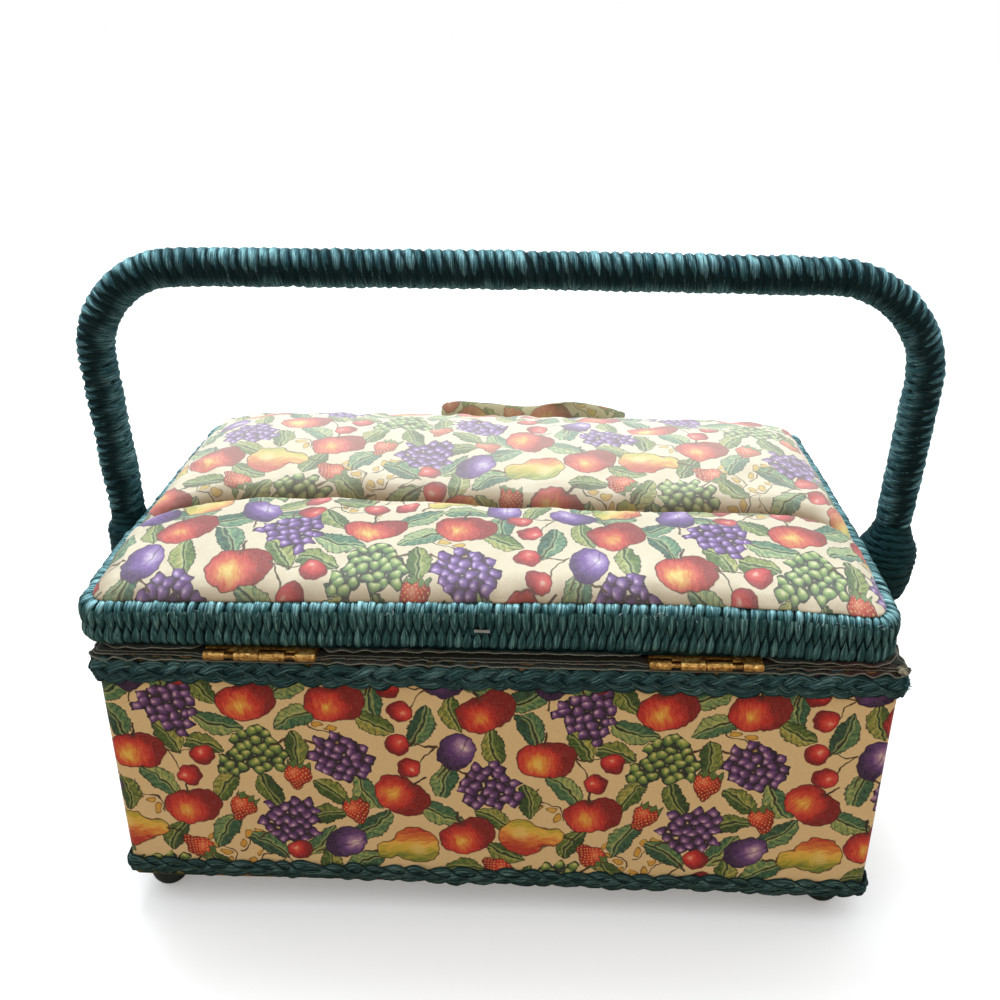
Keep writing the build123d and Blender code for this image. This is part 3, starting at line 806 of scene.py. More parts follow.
def handle_wrap():
    q, T, s = handle_path(0.34)
    m = 60
    th = np.arange(m) / m * 2 * np.pi
    n = len(q)
    S, TH = np.meshgrid(s, th, indexing="ij")
    w1, w2, w3 = wobble(3), wobble(4), wobble(5)
    pitch = 3.75
    rr = np.random.RandomState(11).uniform(-1, 1, (4, 400))
    side = np.degrees(np.abs(np.mod(TH + np.pi, 2 * np.pi) - np.pi))     # 0 on the outside of the bend, 180 inside
    side = side + 7.0 * w1(S / 30.0)
    flow = S + 0.55 * w1(S / 46.0) + 0.30 * w2(S / 9.0) + 0.16 * w3(S / 5.0 + np.cos(TH))

    def stitches(f, wide, body, table):
        """Loops drawn to a point: their section and how thick they are."""
        k = np.round(f + 0.10 * rr[table][np.round(f).astype(int) % 400]).astype(int)
        j = rr[table][k % 400]
        j2 = rr[(table + 1) % 4][k % 400]
        x = (f - k + 0.10 * j) / np.maximum(wide * (1 + 0.10 * j2), 0.01)
        h = np.sqrt(np.clip(1 - x * x, 0, 1))
        ridge = 0.5 + 0.5 * np.cos(2 * np.pi * (x * 1.5 + 0.25 * j))
        return h * body * (0.93 + 0.10 * j2) * (0.90 + 0.10 * ridge), x

    # fat loops over the outside that end in blunt points half way down; the
    # crossed turns under them run on to the inside
    tip = 84 + 9.0 * rr[3][np.round(flow / pitch).astype(int) % 400]
    wa = 0.500 * np.sqrt(np.clip(1 - (np.clip(side - 16, 0, None) / (tip - 16)) ** 2.1, 0.0004, 1))
    ha, xa = stitches((flow - 0.024 * side) / pitch, wa, 1 - 0.22 * smooth(52, 86, side), 0)
    hb, xb = stitches((flow + 0.030 * (180 - side)) / pitch + 0.5, 0.50, 0.60 + 0.38 * smooth(100, 150, side), 2)
    hc, xc = stitches((flow - 0.034 * (180 - side)) / pitch, 0.46, 0.50 + 0.40 * smooth(96, 145, side), 1)
    low = np.maximum(hb, hc)
    H = np.maximum(ha, low)
    over = smooth(-0.10, 0.06, ha - low)
    # painted shade: the crossed turns showing under the loops are darker, least so inside the bend
    dim = 0.30 + 0.60 * smooth(98, 150, side)
    CAV = np.clip(ha ** 1.5, 0, 1) * over + np.clip(low * 1.10 * dim, 0, 1) * (1 - over)
    # painted highlight: the crests of the loops on the outside of the bend are marked to be paled
    GRIP_HIGHLIGHT = over * smooth(0.70, 0.98, ha) * (0.40 * smooth(84, 30, side) + 0.58 * smooth(56, 22, side)) * (0.75 + 0.25 * rr[1][np.round(flow / pitch).astype(int) % 400])
    r = 5.72 + 1.66 * H + 0.10 * w1(S / 60.0 + 5.0)
    # the filler's bends don't sag with it, so the turns stay outside them
    drop = 1.0 * np.clip(np.abs(q[:, 0] - 2.0) / 150.0, 0, 1) ** 2 * smooth(190, 225, q[:, 1])
    r = np.maximum(r, FILL_R + 0.22 + (drop * T[:, 0])[:, None] * np.clip(np.cos(TH), 0, 1))
    # worn flatter inside the right bend, where it comes to rest on the box's corner
    r -= 0.65 * smooth(92, 122, side) * (smooth(120, 130, q[:, 0]) * smooth(196, 206, q[:, 1]))[:, None]
    # it tucks into the cuffs at both ends
    end = np.minimum(s, s[-1] - s)[:, None]
    r *= 1 - 0.10 * np.exp(-end / 2.5)
    N = np.stack([-T[:, 1], T[:, 0]], 1)
    P = np.zeros((n, m, 3))
    P[..., 0] = q[:, None, 0] + r * np.cos(TH) * N[:, None, 0]
    P[..., 2] = q[:, None, 1] + r * np.cos(TH) * N[:, None, 1]
    P[..., 1] = r * np.sin(TH)
    bag = Bag()
    # U runs along the cord, that is round the bar; V across the turns
    U = np.zeros((n + 1, m + 1))
    V = np.zeros((n + 1, m + 1))
    th1 = np.arange(m + 1) / m
    U[:n] = th1[None] * 4.6
    V[:n] = (s / pitch)[:, None] + th1[None] * 0.7
    bag.grid(tilt(P), U, V, around=True, caps=True, flip=True, cav=CAV, fade_and_painted_light=GRIP_HIGHLIGHT)
    return bag.build("handle_cord_wrap")


wrap = finish_piece(handle_wrap(), "handle", TEAL, ["handle_wrap"])


def cuff(side, x0, prof, name, node, seed):
    """Cord wound to a bulb over the bend of the rod, running up into the grip."""
    prof = lerp_table(prof)
    top = 131.6
    z = np.concatenate([np.linspace(92.5, 93.6, 6)[:-1], np.arange(93.6, top, 0.36)])
    m = 60
    th = np.arange(m) / m * 2 * np.pi
    Z, TH = np.meshgrid(z, th, indexing="ij")
    w1, w2 = wobble(seed), wobble(seed + 1)
    base = prof(z)[:, None] + 0 * TH
    phase = Z / 3.1 + TH / (2 * np.pi) + 0.30 * w1(Z / 26 + 0.5 * np.sin(TH)) + 0.22 * np.sin(TH) + 0.12 * w2(Z / 6.0 + np.cos(TH))
    fib = 0.5 + 0.5 * np.sin(phase * 2 * np.pi * 4 + 2.0 * w2(Z / 9 + TH))
    turn = lobe(phase, 0.5)
    d = 1.05 * turn + 0.07 * fib - 0.90
    r = base + d * smooth(92.6, 94.5, Z) * smooth(top, top - 5.0, Z) + 0.18 * w2(Z / 22.0 + np.cos(TH) * 0.6) * smooth(top, top - 5.0, Z)
    xc = x0 + (Z - 105.0) * (-0.0109 if side < 0 else 0.0023)
    P = np.stack([xc + r * np.cos(TH), r * np.sin(TH), Z], -1)
    bag = Bag()
    U = np.tile(np.arange(m + 1) / m * 6.0, (len(z) + 1, 1))
    V = np.tile(np.append(z, z[-1])[:, None] / 3.0, (1, m + 1))
    # painted shade: darker between the turns; the cuffs take the darker copy of the cord
    bag.grid(tilt(P), U, V, around=True, caps=True, flip=True, cav=np.maximum(turn, 1 - smooth(92.6, 94.5, Z)))
    ob = bag.build(name)
    return finish_piece(ob, "handle", TEAL_DARK, [node])


cuff(-1, -154.4, [(92.5, 0.0), (92.9, 3.6), (94, 5.6), (96, 7.4), (99, 8.6), (103, 9.3), (108, 9.75), (115, 9.5), (120, 9.4), (122, 9.2), (123.4, 8.6),
                  (124.6, 7.8), (125.8, 7.2), (127.5, 6.95), (129.5, 6.8), (131.6, 6.5)], "cuff_cord_left", "handle_cuff_left", 31)
cuff(1, 160.0, [(92.5, 0.0), (92.9, 4.4), (94, 6.2), (96, 8.2), (99, 9.9), (102, 10.6), (106, 11.1), (110, 11.5), (114, 11.8), (117, 11.8), (119, 11.5),
                (120.5, 11.0), (122, 10.2), (124, 9.1), (126, 8.2), (128, 7.5), (130, 6.9), (131.6, 6.5)], "cuff_cord_right", "handle_cuff_right", 41)


# ------------------------------------------------------------------ corded lid rim
def rim_plan():
    P, N, s, total = rounded_loop(280.0, 172.0, 11.0, 3.06 / 8)
    Pc, Nc = np.vstack([P, P[:1]]), np.vstack([N, N[:1]])
    S = np.append(s, total)

    def at(sv, off, z):
        """Points off mm outside the rim's face at arc length sv, height z."""
        sv = np.mod(sv, total)
        p = np.stack([np.interp(sv, S, Pc[:, i]) for i in range(2)], -1)
        n = np.stack([np.interp(sv, S, Nc[:, i]) for i in range(2)], -1)
        n /= np.linalg.norm(n, axis=-1, keepdims=True)
        q = p + n * np.asarray(off)[..., None]
        dx, dy, dz = lid_shift(p[..., 0], p[..., 1], z)
        return np.stack([q[..., 0] + dx, q[..., 1] + dy, z + dz], -1)

    return at, total


RIM_AT, RIM_TOTAL = rim_plan()


def rim_bed():
    """The under-wrapping that shows between the stitches, given the darker copy of the cord as painted shade."""
    bag = Bag()
    k = 420
    sb = np.arange(k) * RIM_TOTAL / k
    sec = [(-7.9, 119.0), (-0.9, 118.5), (-0.75, 121.0), (-0.8, 132.0), (-1.7, 134.4), (-4.2, 135.4), (-7.0, 135.0), (-7.9, 133.0)]
    ring = np.zeros((k, len(sec), 3))
    for j, (o, z) in enumerate(sec):
        q = RIM_AT(sb, np.full(k, o), np.full(k, z))
        if z < 119.5:
            q[:, 2] = np.minimum(q[:, 2], z + 0.2)
        ring[:, j] = q
    bag.grid(ring, np.arange(k + 1) * 0.3, np.arange(len(sec) + 1) * 0.4, around=True, along=True, flip=False)
    return bag.build("lid_rim_bed")


def rim_wrap():
    bag = Bag()
    loops = Bag()
    count = int(round(RIM_TOTAL / 3.06))
    pitch = RIM_TOTAL / count
    r = np.random.RandomState(5)

    def spindle(s0, path, half, thick, lean=0.0, m=12, seedv=0.0, pts=15, groove=0.0, into=None, top_highlight=0.0):
        """One cord stitch lying along path, rows of (offset, z), at arc length s0."""
        path = np.array(path, float)
        t = np.linspace(0, 1, pts)
        L = np.concatenate([[0], np.cumsum(np.linalg.norm(np.diff(path, axis=0), axis=1))])
        L /= L[-1]
        o, z = np.interp(t, L, path[:, 0]), np.interp(t, L, path[:, 1])
        ker = np.array([0.25, 0.5, 0.25])
        o[1:-1] = np.convolve(o, ker, "valid")
        z[1:-1] = np.convolve(z, ker, "valid")
        sv = s0 + lean * (t - 0.5)
        w, h = half(t), thick(t)
        do, dz = np.gradient(o), np.gradient(z)
        l = np.hypot(do, dz)
        do, dz = do / l, dz / l
        no, nz = -dz, do
        a = np.arange(m) / m * 2 * np.pi
        ca, sa = np.cos(a), np.sin(a)
        g = 1 + groove * np.cos(3 * a)
        across = w[:, None] * (ca * g)[None]
        out = h[:, None] * (sa * g)[None]
        zz = z[:, None] + out * nz[:, None]
        Pg = RIM_AT(sv[:, None] + across, o[:, None] + out * no[:, None], zz)
        # painted shade darkens each stitch towards its sides; on the loops a painted highlight pales the middle of
        # their outer side
        edge = 1 - 0.75 * np.abs(ca) ** 3
        (into or bag).grid(Pg, np.append(t, 1.0) * 0.9 + seedv, np.arange(m + 1) / m * 1.1 + seedv * 3.7, around=True, caps=True, flip=False, cav=edge[None],
                             fade_and_painted_light=top_highlight * np.exp(-((t - 0.46) / 0.17) ** 2)[:, None] * (np.clip(sa, 0, 1) ** 0.6)[None])

    cap = lambda t, e, k: np.sqrt(np.clip(1 - np.abs(2 * t - 1) ** k, e, 1))
    wave = ring_noise(17, RIM_TOTAL, 10, 6, 34)
    fine = ring_noise(18, RIM_TOTAL, 10, 40, 110)
    for i in range(count):
        s0 = (i + 0.5) * pitch
        j = r.uniform(-1, 1, 14)
        sv = float(r.uniform(0, 50))
        mid = ((s0 + 8.2 + RIM_TOTAL / 2) % RIM_TOTAL) - RIM_TOTAL / 2
        mess = math.exp(-(mid / 4.5) ** 2)          # knotted turns beside the staple
        wv, fv = float(wave(s0)), float(fine(s0))
        top = 135.05 + 0.24 * j[0] + 0.16 * wv + 0.12 * fv
        # loop over the top edge; some turns ride over their neighbour
        k = 0.20 * j[1]
        path = [(-7.4, 134.9), (-5.6, top - 0.1), (-3.4, top + k), (-1.75, top - 0.45 + k), (-0.55, top - 1.55), (0.0, top - 2.7), (-0.30, 131.4 + 1.1 * j[2] + 0.25 * fv)]
        point = lambda t: cap(t, 0.02, 5) * (1 - 0.70 * np.clip((t - 0.60) / 0.40, 0, 1) ** 1.6)
        spindle(s0 + 0.42 * j[4], path, lambda t: (1.50 + 0.24 * j[3]) * point(t), lambda t: (0.98 + 0.16 * j[9]) * cap(t, 0.02, 5) * (1 - 0.45 * np.clip((t - 0.72) / 0.28, 0, 1)),
                lean=-1.3 + 1.2 * j[5], seedv=sv, pts=17, groove=0.10, into=loops, top_highlight=0.74 + 0.30 * j[9])
        if j[10] > 0.10:
            # a second strand of the pair shows on the edge
            spindle(s0 + pitch * 0.5 + 0.4 * j[11], [(-4.6, top - 0.4), (-2.6, top + 0.30), (-1.0, top - 0.45), (0.10, top - 1.9), (-0.30, top - 3.2 + 0.6 * j[12])],
                    lambda t: (0.90 + 0.16 * j[3]) * cap(t, 0.02, 4) * (1 - 0.6 * t ** 3), lambda t: 0.74 * cap(t, 0.02, 4), lean=-0.6 + 1.0 * j[12], seedv=sv + 21, m=10, pts=11, into=loops, top_highlight=0.67 + 0.30 * j[3])
        # upper drop, drawn to a point downwards
        zb = 124.2 + 0.7 * j[7] + 0.35 * wv + 2.2 * mess
        wu = 1.62 + 0.12 * j[1]
        up = lambda t: wu * np.clip(1.0 - 0.10 * t, 0.04, 1) * np.clip(1 - np.clip((t - 0.30) / 0.70, 0, 1) ** 1.55, 0.03, 1) * np.sqrt(np.clip(t / 0.08, 0.15, 1))
        thk = lambda t: 0.98 * np.sqrt(np.clip(1 - (2 * t - 1) ** 4, 0.06, 1)) * (1 - 0.30 * t)
        spindle(s0 + 0.22 * j[2], [(-0.45, 133.8), (0.06, 130.6), (-0.05, 127.2), (-0.60, zb)], up, thk, lean=0.55 * j[5] + 0.25, seedv=sv + 3, groove=0.08)
        # lower drop, half a turn on, its point up between the two above
        zt = 127.9 + 0.8 * j[6] - 2.4 * mess
        zl = 118.9 + 0.35 * j[0]
        wd = 1.50 + 0.14 * j[8]
        dn = lambda t: wd * np.clip(0.05 + 1.85 * t, 0.03, 1) ** 0.95 * np.sqrt(np.clip((1 - t) / 0.20, 0.10, 1))
        thd = lambda t: 1.04 * np.sqrt(np.clip(1 - (2 * t - 1) ** 4, 0.06, 1)) * (0.52 + 0.48 * t)
        spindle(s0 + pitch / 2 + 0.20 * j[13], [(-0.60, zt), (-0.10, (zt + zl) / 2 + 1.2), (0.10, zl + 2.6), (-0.35, zl + 0.7), (-1.1, zl)], dn, thd,
                lean=-0.7 + 0.6 * j[7], seedv=sv + 7, groove=0.08)
    return bag.build("lid_rim_cord"), loops.build("lid_rim_loops")


def rim_core():
    """The wooden frame inside the cord, pulled out of square with it."""
    bag = Bag()
    k = 300
    sb = np.arange(k) * RIM_TOTAL / k
    sec = [(-1.7, 120.2), (-1.7, 133.6), (-2.4, 134.1), (-7.9, 133.9), (-7.9, 119.7), (-2.4, 119.6)]
    ring = np.stack([RIM_AT(sb, np.full(k, o), np.full(k, z)) for o, z in sec], 1)
    bag.grid(ring, np.arange(k + 1) * 0.3, np.arange(len(sec) + 1) * 0.4, around=True, along=True, flip=False)
    return bag.build("lid_rim_frame")


RIM = cord_material("rim_cord_mat", lin(5, 24, 24), lin(48, 86, 86), lin(148, 192, 188), 0.36, 4.0, bump=1.0, spec=0.4, gloss=0.25)
# painted highlight: the loops over the top edge get a lighter, bluer copy of the rim's cord
LOOPS = cord_material("rim_loop_mat", lin(4, 25, 28), lin(37, 87, 93), lin(182, 226, 228), 0.28, 4.0, bump=1.0, spec=0.6, gloss=0.38)
face, loops = rim_wrap()
rim = finish_piece(face, "lid", RIM, ["lid_rim_wrap"])
finish_piece(loops, "lid", LOOPS)
finish_piece(rim_bed(), "lid", TEAL_DARK)


# ------------------------------------------------------------------ box skin
def box_shift(P, z):
    """The box is a little out of square: its right end leans outwards to the foot."""
    P = np.array(P, float)
    P[..., 0] += (1.2 + 1.0 * smooth(100, 25, z)) * smooth(40, 138, P[..., 0])
    return P


# ------------------------------------------------------------------ braids
def braid(name, node, z0, height, seed, half_w, amp, period, step, m, proud, thick, sag, notch=False):
    """Flat plait of three raffia strands run round the box."""
    P, N, s, total = rounded_loop(280.4 + 2 * proud, 171.0 + 2 * proud, 2.6 + proud, step)
    P = box_shift(P, z0)
    n = len(s)
    laps = round(total / period)
    bag = Bag()
    zc = z0 + height / 2
    wz = ring_noise(seed, total, 8, 4, 26)
    wt = ring_noise(seed + 1, total, 9, 10, 60)
    for k in range(3):
        wk = ring_noise(seed + 5 + k, total, 9, 8, 50)
        wj = ring_noise(seed + 15 + k, total, 12, 40, 160)
        ph = 2 * np.pi * (laps * s / total + k / 3.0) + 0.34 * wt(s)
        zz = amp * np.sin(ph) * (1 + 0.12 * wk(s))
        nn = 0.9 * thick * np.sin(2 * ph + 0.35)
        centre = np.stack([P[:, 0], P[:, 1], np.full(n, zc)], 1)
        centre[:, 2] += zz + 0.30 * wz(s) + sag(P[:, 0])
        press = 1 - 0.75 * np.exp(-(P[:, 1] / 9.0) ** 4) * (np.abs(P[:, 0]) > 130) * (1.0 if notch else 0.0)
        centre[:, :2] += N * (nn * press)[:, None]
        T = np.roll(centre, -1, 0) - np.roll(centre, 1, 0)
        T /= np.linalg.norm(T, axis=1, keepdims=True)
        O = np.concatenate([N, np.zeros((n, 1))], 1)
        O -= T * (O * T).sum(1, keepdims=True)
        O /= np.linalg.norm(O, axis=1, keepdims=True)
        W = np.cross(T, O)
        # the flat strand turns a little as it folds round the plait's edge
        roll = 0.50 * np.cos(ph) + 0.14 * wk(s * 1.0)
        c, q = np.cos(roll)[:, None], np.sin(roll)[:, None]
        W, O = W * c + O * q, O * c - W * q
        a = np.arange(m) / m * 2 * np.pi
        edge = np.abs(np.cos(a)) ** 0.85 * np.sign(np.cos(a))
        hw = half_w * (1 + 0.10 * wk(s + 40)) * (1 - 0.18 * np.cos(2 * ph))
        ht = (thick * press)[:, None] * np.ones((1, m))
        # the raffia is pleated along its length
        fold = np.cos(6 * a[None] + 2.2 * wk(s)[:, None] + 1.1 * wj(s)[:, None])
        crease = 0.36 * (1 - 1.9 * np.abs(fold) ** 1.6) * (0.75 + 0.25 * wj(s + 20)[:, None]) + 0.12 * np.cos(11 * a[None] + 1.4 * wk(s + 9)[:, None])
        g = 1 + crease
        ring = (centre[:, None] + W[:, None] * (hw[:, None] * edge[None] * (1 + 0.25 * crease))[..., None]
                + O[:, None] * (ht * np.sin(a)[None] * g + 0.16 * crease * press[:, None])[..., None])
        U = np.append(s, total) * 0.1
        V = np.arange(m + 1) / m * 1.2 + k * 3.1
        # painted shade: darker in the folds of the pleats and towards each strand's edges
        cav = (0.62 + 1.3 * crease) * (1 - 0.85 * np.abs(np.cos(a))[None] ** 5)
        bag.grid(ring, U, V, around=True, along=True, flip=False, cav=cav)
    return bag.build(name)


LEVEL = lerp_table([(-150, 0.0), (150, 0.0)])
FOOT_RAFFIA = cord_material("teal_braid_foot_mat", lin(12, 30, 29), lin(64, 92, 88), lin(146, 176, 168), 0.5, 9.0, bump=1.1, spec=0.3, gloss=0.12)
FOOT_BRAID = lerp_table([(-141, 1.7), (-90, 0.9), (0, -0.1), (90, -1.2), (142, -1.7)])
finish_piece(braid("top_raffia_braid", "top_braid", 103.6, 9.8, 61, 2.25, 2.75, 25.0, 0.7, 30, 1.25, 0.62, LEVEL, True), "box", BRAID, ["top_braid"])
finish_piece(braid("bottom_raffia_braid", "bottom_braid", 13.0, 7.2, 71, 2.35, 1.45, 26.0, 0.9, 30, 0.9, 0.42, FOOT_BRAID), "box", FOOT_RAFFIA, ["bottom_braid"])


def tuft(name, body, mat, root, spread, count, length, radius, seed, lean):
    """Loose fibre ends fanning out from a point."""
    r = np.random.RandomState(seed)
    bag = Bag()
    th = np.arange(5) / 5 * 2 * np.pi
    for i in range(count):
        p = np.array(root) + r.uniform(-1, 1, 3) * spread
        d = np.array(lean) + r.uniform(-0.8, 0.8, 3)
        d /= np.linalg.norm(d)
        bend = r.uniform(-1, 1, 3) * 0.5
        L = length * r.uniform(0.45, 1.0)
        t = np.linspace(0, 1, 7)[:, None]
        c = p + d * t * L + bend * (t ** 2) * L * 0.5
        a = np.cross(d, [0.3, 0.5, 0.8])
        a /= np.linalg.norm(a)
        b = np.cross(d, a)
        rad = radius * r.uniform(0.6, 1.2) * (1 - 0.7 * t[:, 0])
        ring = c[:, None] + rad[:, None, None] * (np.cos(th)[None, :, None] * a + np.sin(th)[None, :, None] * b)
        u0 = float(r.uniform(0, 9))
        bag.grid(ring, np.append(t[:, 0], 1) * 0.5 + u0, np.arange(6) * 0.2 + u0, around=True, caps=True, flip=False)
    return finish_piece(bag.build(name), body, mat)


tuft("braid_end_tuft", "box", LOOPS, (140.9, -87.0, 111.0), (0.5, 0.9, 1.6), 34, 3.0, 0.24, 5, (0.7, -0.8, -0.35))


LINT = plain_material("lint_mat", lin(168, 200, 204), lin(232, 240, 240), 500.0, (0.7, 0.9), 0.0)
for i, (lx, lw, n) in enumerate(((-92.0, 26.0, 26), (-28.0, 12.0, 16), (63.0, 22.0, 18), (118.0, 16.0, 22))):
    tuft("rim_lint_%d" % (i + 1), "lid", LINT, (lx, -86.0, 133.4 + float(RIM_TOP_BOW(lx))), (lw, 0.9, 1.6), n, 2.4, 0.07, 40 + i, (0.1, -0.7, 0.2))


# ------------------------------------------------------------------ printed cloth on the box
def box_cloth():
    P, N, s, total = rounded_loop(280.4, 171.0, 2.6, 2.0)
    n = len(s)
    # the cloth's own join is at the back, near a corner
    k = int(np.argmin(np.hypot(P[:, 0] + 128, P[:, 1] - 85.5)))
    P, N = np.roll(P, -k, 0), np.roll(N, -k, 0)
    zs = np.concatenate([[12.7, 13.3, 13.9, 14.7], np.linspace(16.0, 111.5, 42), [112.3, 113.1, 113.9]])
    S, Z = np.meshgrid(s, zs, indexing="ij")
    a, b = ring_noise(81, total, 9, 3, 22), ring_noise(82, total, 9, 8, 44)
    # taut cloth: faint vertical pulls under the top braid, flat at the corners
    corner = np.zeros(n)
    for cx, cy in ((140, 85.5), (140, -85.5), (-140, 85.5), (-140, -85.5)):
        corner = np.maximum(corner, np.exp(-((np.hypot(P[:, 0] - cx, P[:, 1] - cy) / 12.0) ** 2)))
    pull = (0.22 * a(S + 0.10 * Z) + 0.10 * b(S - 0.2 * Z)) * (1 - corner[:, None]) * (0.35 + 0.65 * smooth(60, 112, Z))
    pull += 0.35 * (1 - corner[:, None])
    outer = np.dstack([P[:, None, 0] + N[:, None, 0] * (pull - 0.3), P[:, None, 1] + N[:, None, 1] * (pull - 0.3), Z])
    inner = np.dstack([P[:, None, 0] + N[:, None, 0] * (pull * 0 - 0.75), P[:, None, 1] + N[:, None, 1] * (pull * 0 - 0.75), Z])
    ring = np.concatenate([outer, inner[:, ::-1]], 1)
    ring = box_shift(ring, ring[..., 2])
    m = ring.shape[1]
    # six whole repeats of the print go round
    U = np.tile(np.append(s, total)[:, None] / 100 * (6 * TX / total), (1, m + 1))
    V = np.concatenate([zs / 100, zs[::-1] / 100, zs[:1] / 100])
    V = np.tile(V[None], (n + 1, 1))
    bag = Bag()
    bag.grid(ring, U, V, around=True, along=True, flip=False)
    ob = bag.build("box_print_cloth")
    zz = np.concatenate([zs, zs[::-1]])
    # painted shade with glue: the cloth darkens where it runs in under the top braid and the bottom braid
    edge_shade_and_glue = np.maximum(smooth(111.3, 112.0, zz), smooth(14.6, 13.4, zz))
    ob.data.attributes.new("painted_shade", "FLOAT", "POINT").data.foreach_set("value", np.tile(edge_shade_and_glue, n).astype(np.float32))
    return ob


# painted shade: the box's copy of the print is darker and warmer than the lid's, by its tint and a deeper gamma
BOX_PRINT = print_material("print_cloth_box_mat", shift=(31.0, 17.0), tint=(0.96, 0.77, 0.58), depth=1.32)
cloth = finish_piece(box_cloth(), "box", BOX_PRINT, ["box_cover"])


# ------------------------------------------------------------------ padded lid
CREASE = lerp_table([(-140, -47), (-134, -38), (-128, -30.5), (-121, -24.5), (-110, -20), (-92, -16.5), (-69, -14.5), (-45, -15.5), (-20, -18), (0, -20),
                     (30, -21.5), (60, -22.0), (90, -21.5), (112, -22.0), (124, -25.5), (131, -31), (140, -43)])
EDGE_X, EDGE_NEAR, EDGE_FAR = 134.8, -83.2, 80.2


def lid_height(x, y):
    """Top of the stuffed lid above the rim's top plane, mm."""
    yc = CREASE(x)
    near = lerp_table([(0.0, 0.35), (0.02, 2.1), (0.045, 3.7), (0.08, 5.2), (0.13, 6.7), (0.20, 8.0), (0.32, 9.4), (0.46, 10.4), (0.60, 11.1), (0.72, 11.4),
                       (0.81, 11.2), (0.875, 10.4), (0.925, 8.7), (0.965, 6.2), (1.0, 3.2)])
    far = lerp_table([(0.0, 3.2), (0.018, 4.4), (0.045, 7.4), (0.085, 10.0), (0.14, 11.8), (0.24, 13.2), (0.38, 14.4), (0.52, 14.8), (0.64, 14.3), (0.76, 12.8), (0.86, 10.9),
                      (0.93, 9.0), (0.965, 7.6), (0.985, 5.4), (1.0, 0.35)])
    tn = np.clip((y - EDGE_NEAR) / (yc - EDGE_NEAR), 0, 1)
    tf = np.clip((y - yc) / (EDGE_FAR - yc), 0, 1)
    h = np.where(y < yc, near(tn), far(tf))
    g = np.sqrt(np.clip(1 - (np.abs(x) / (EDGE_X + 0.05)) ** 9, 0.0, 1))
    low = 0.35
    return low + (h - low) * g


def smooth_rows(A, k):
    ker = np.hanning(2 * k + 3)[1:-1]
    ker /= ker.sum()
    for ax in (0, 1):
        pad = np.take(A, [0] * k, ax), A, np.take(A, [-1] * k, ax)
        A = np.apply_along_axis(lambda v: np.convolve(v, ker, "valid"), ax, np.concatenate(pad, ax))
    return A


def lid_grid(nx, ny):
    """Plan grid of the cloth: close rows at the rim and the crease, round corners."""
    u, v = np.linspace(-1, 1, nx), np.linspace(0, 1, ny)
    u = np.sign(u) * (1 - (1 - np.abs(u)) ** 1.35) * EDGE_X
    # row spacing as wanted per place
    want = lerp_table([(-84, 0.35), (-79, 0.75), (-66, 1.4), (-34, 1.3), (-26, 0.75), (-12, 0.75), (0, 1.5), (60, 1.7), (74, 0.8), (80, 0.35)])
    fine = np.linspace(EDGE_NEAR, EDGE_FAR, 2000)
    c = np.concatenate([[0], np.cumsum(1 / want((fine[1:] + fine[:-1]) / 2))])
    v = np.interp(v, c / c[-1], fine)
    X_, Y_ = np.meshgrid(u, v, indexing="ij")
    mid = (EDGE_NEAR + EDGE_FAR) / 2
    half = (EDGE_FAR - EDGE_NEAR) / 2
    rc = np.where(Y_ > mid, 4.5, 7.0)
    cx, cy = np.abs(X_) - (EDGE_X - rc), np.abs(Y_ - mid) - (half - rc)
    both = (cx > 0) & (cy > 0)
    k = np.where(both, np.maximum(cx, cy) / np.maximum(np.hypot(cx, cy), 1e-6), 1.0)
    XN = np.where(both, np.sign(X_) * (EDGE_X - rc + cx * k), X_)
    YN = np.where(both, mid + np.sign(Y_ - mid) * (half - rc + cy * k), Y_)
    # distance to the edge is that of the square grid before rounding
    edge = np.minimum(EDGE_X - np.abs(X_), half - np.abs(Y_ - mid))
    return XN, YN, X_, Y_, edge


def lid_cloth():
    nx, ny = 161, 113
    XN, YN, X_, Y_, edge = lid_grid(nx, ny)
    H = lid_height(X_, Y_)
    w1, w2, w3, w4 = wobble(91), wobble(92), wobble(93), wobble(94)
    # small puckers where the cloth is tucked behind the rim's stitches
    pl = ring_noise(95, 860.0, 12, 24, 70)
    run = np.where(np.abs(X_) > 128, Y_ + 400, X_ + np.sign(Y_) * 200)
    H += 0.42 * np.exp(-((edge - 3.0) / 4.0) ** 2) * pl(run)
    H += 0.30 * np.exp(-((edge - 9) / 8.0) ** 2) * (w1(X_ / 17.0) * (np.abs(Y_) / 78) ** 3 + w2(Y_ / 15.0) * (np.abs(X_) / 132) ** 3)
    dc = Y_ - CREASE(X_)
    H += 0.40 * np.exp(-((dc + 11) / 8.0) ** 2) * w3(X_ / 62.0) + 0.45 * np.exp(-((dc - 11) / 8.0) ** 2) * w4(X_ / 50.0)
    # folds that run into the two ends of the crease
    for sx, amp in ((-1, 0.9), (1, 1.3)):
        ux = sx * X_
        for k, (x0, y0, dx, dy, wdt, a) in enumerate([(108, -30, 0.86, -0.51, 3.0, 1.0), (110, -12, 0.95, 0.30, 3.6, 0.7), (98, -50, 0.9, -0.43, 4.2, 0.45)]):
            along = (ux - x0) * dx + (Y_ - y0) * dy
            side = -(ux - x0) * dy + (Y_ - y0) * dx
            H += amp * a * np.exp(-(side / wdt) ** 2) * np.exp(-((along - 12) / 13.0) ** 2) * smooth(0, 6, edge)
    H = np.maximum(H, 0.3)
    sx_, sy_, sz_ = lid_shift(XN, YN, 136.0)
    return XN + sx_, YN + sy_, H, edge, sz_ * smooth(30, 0, edge), X_, Y_


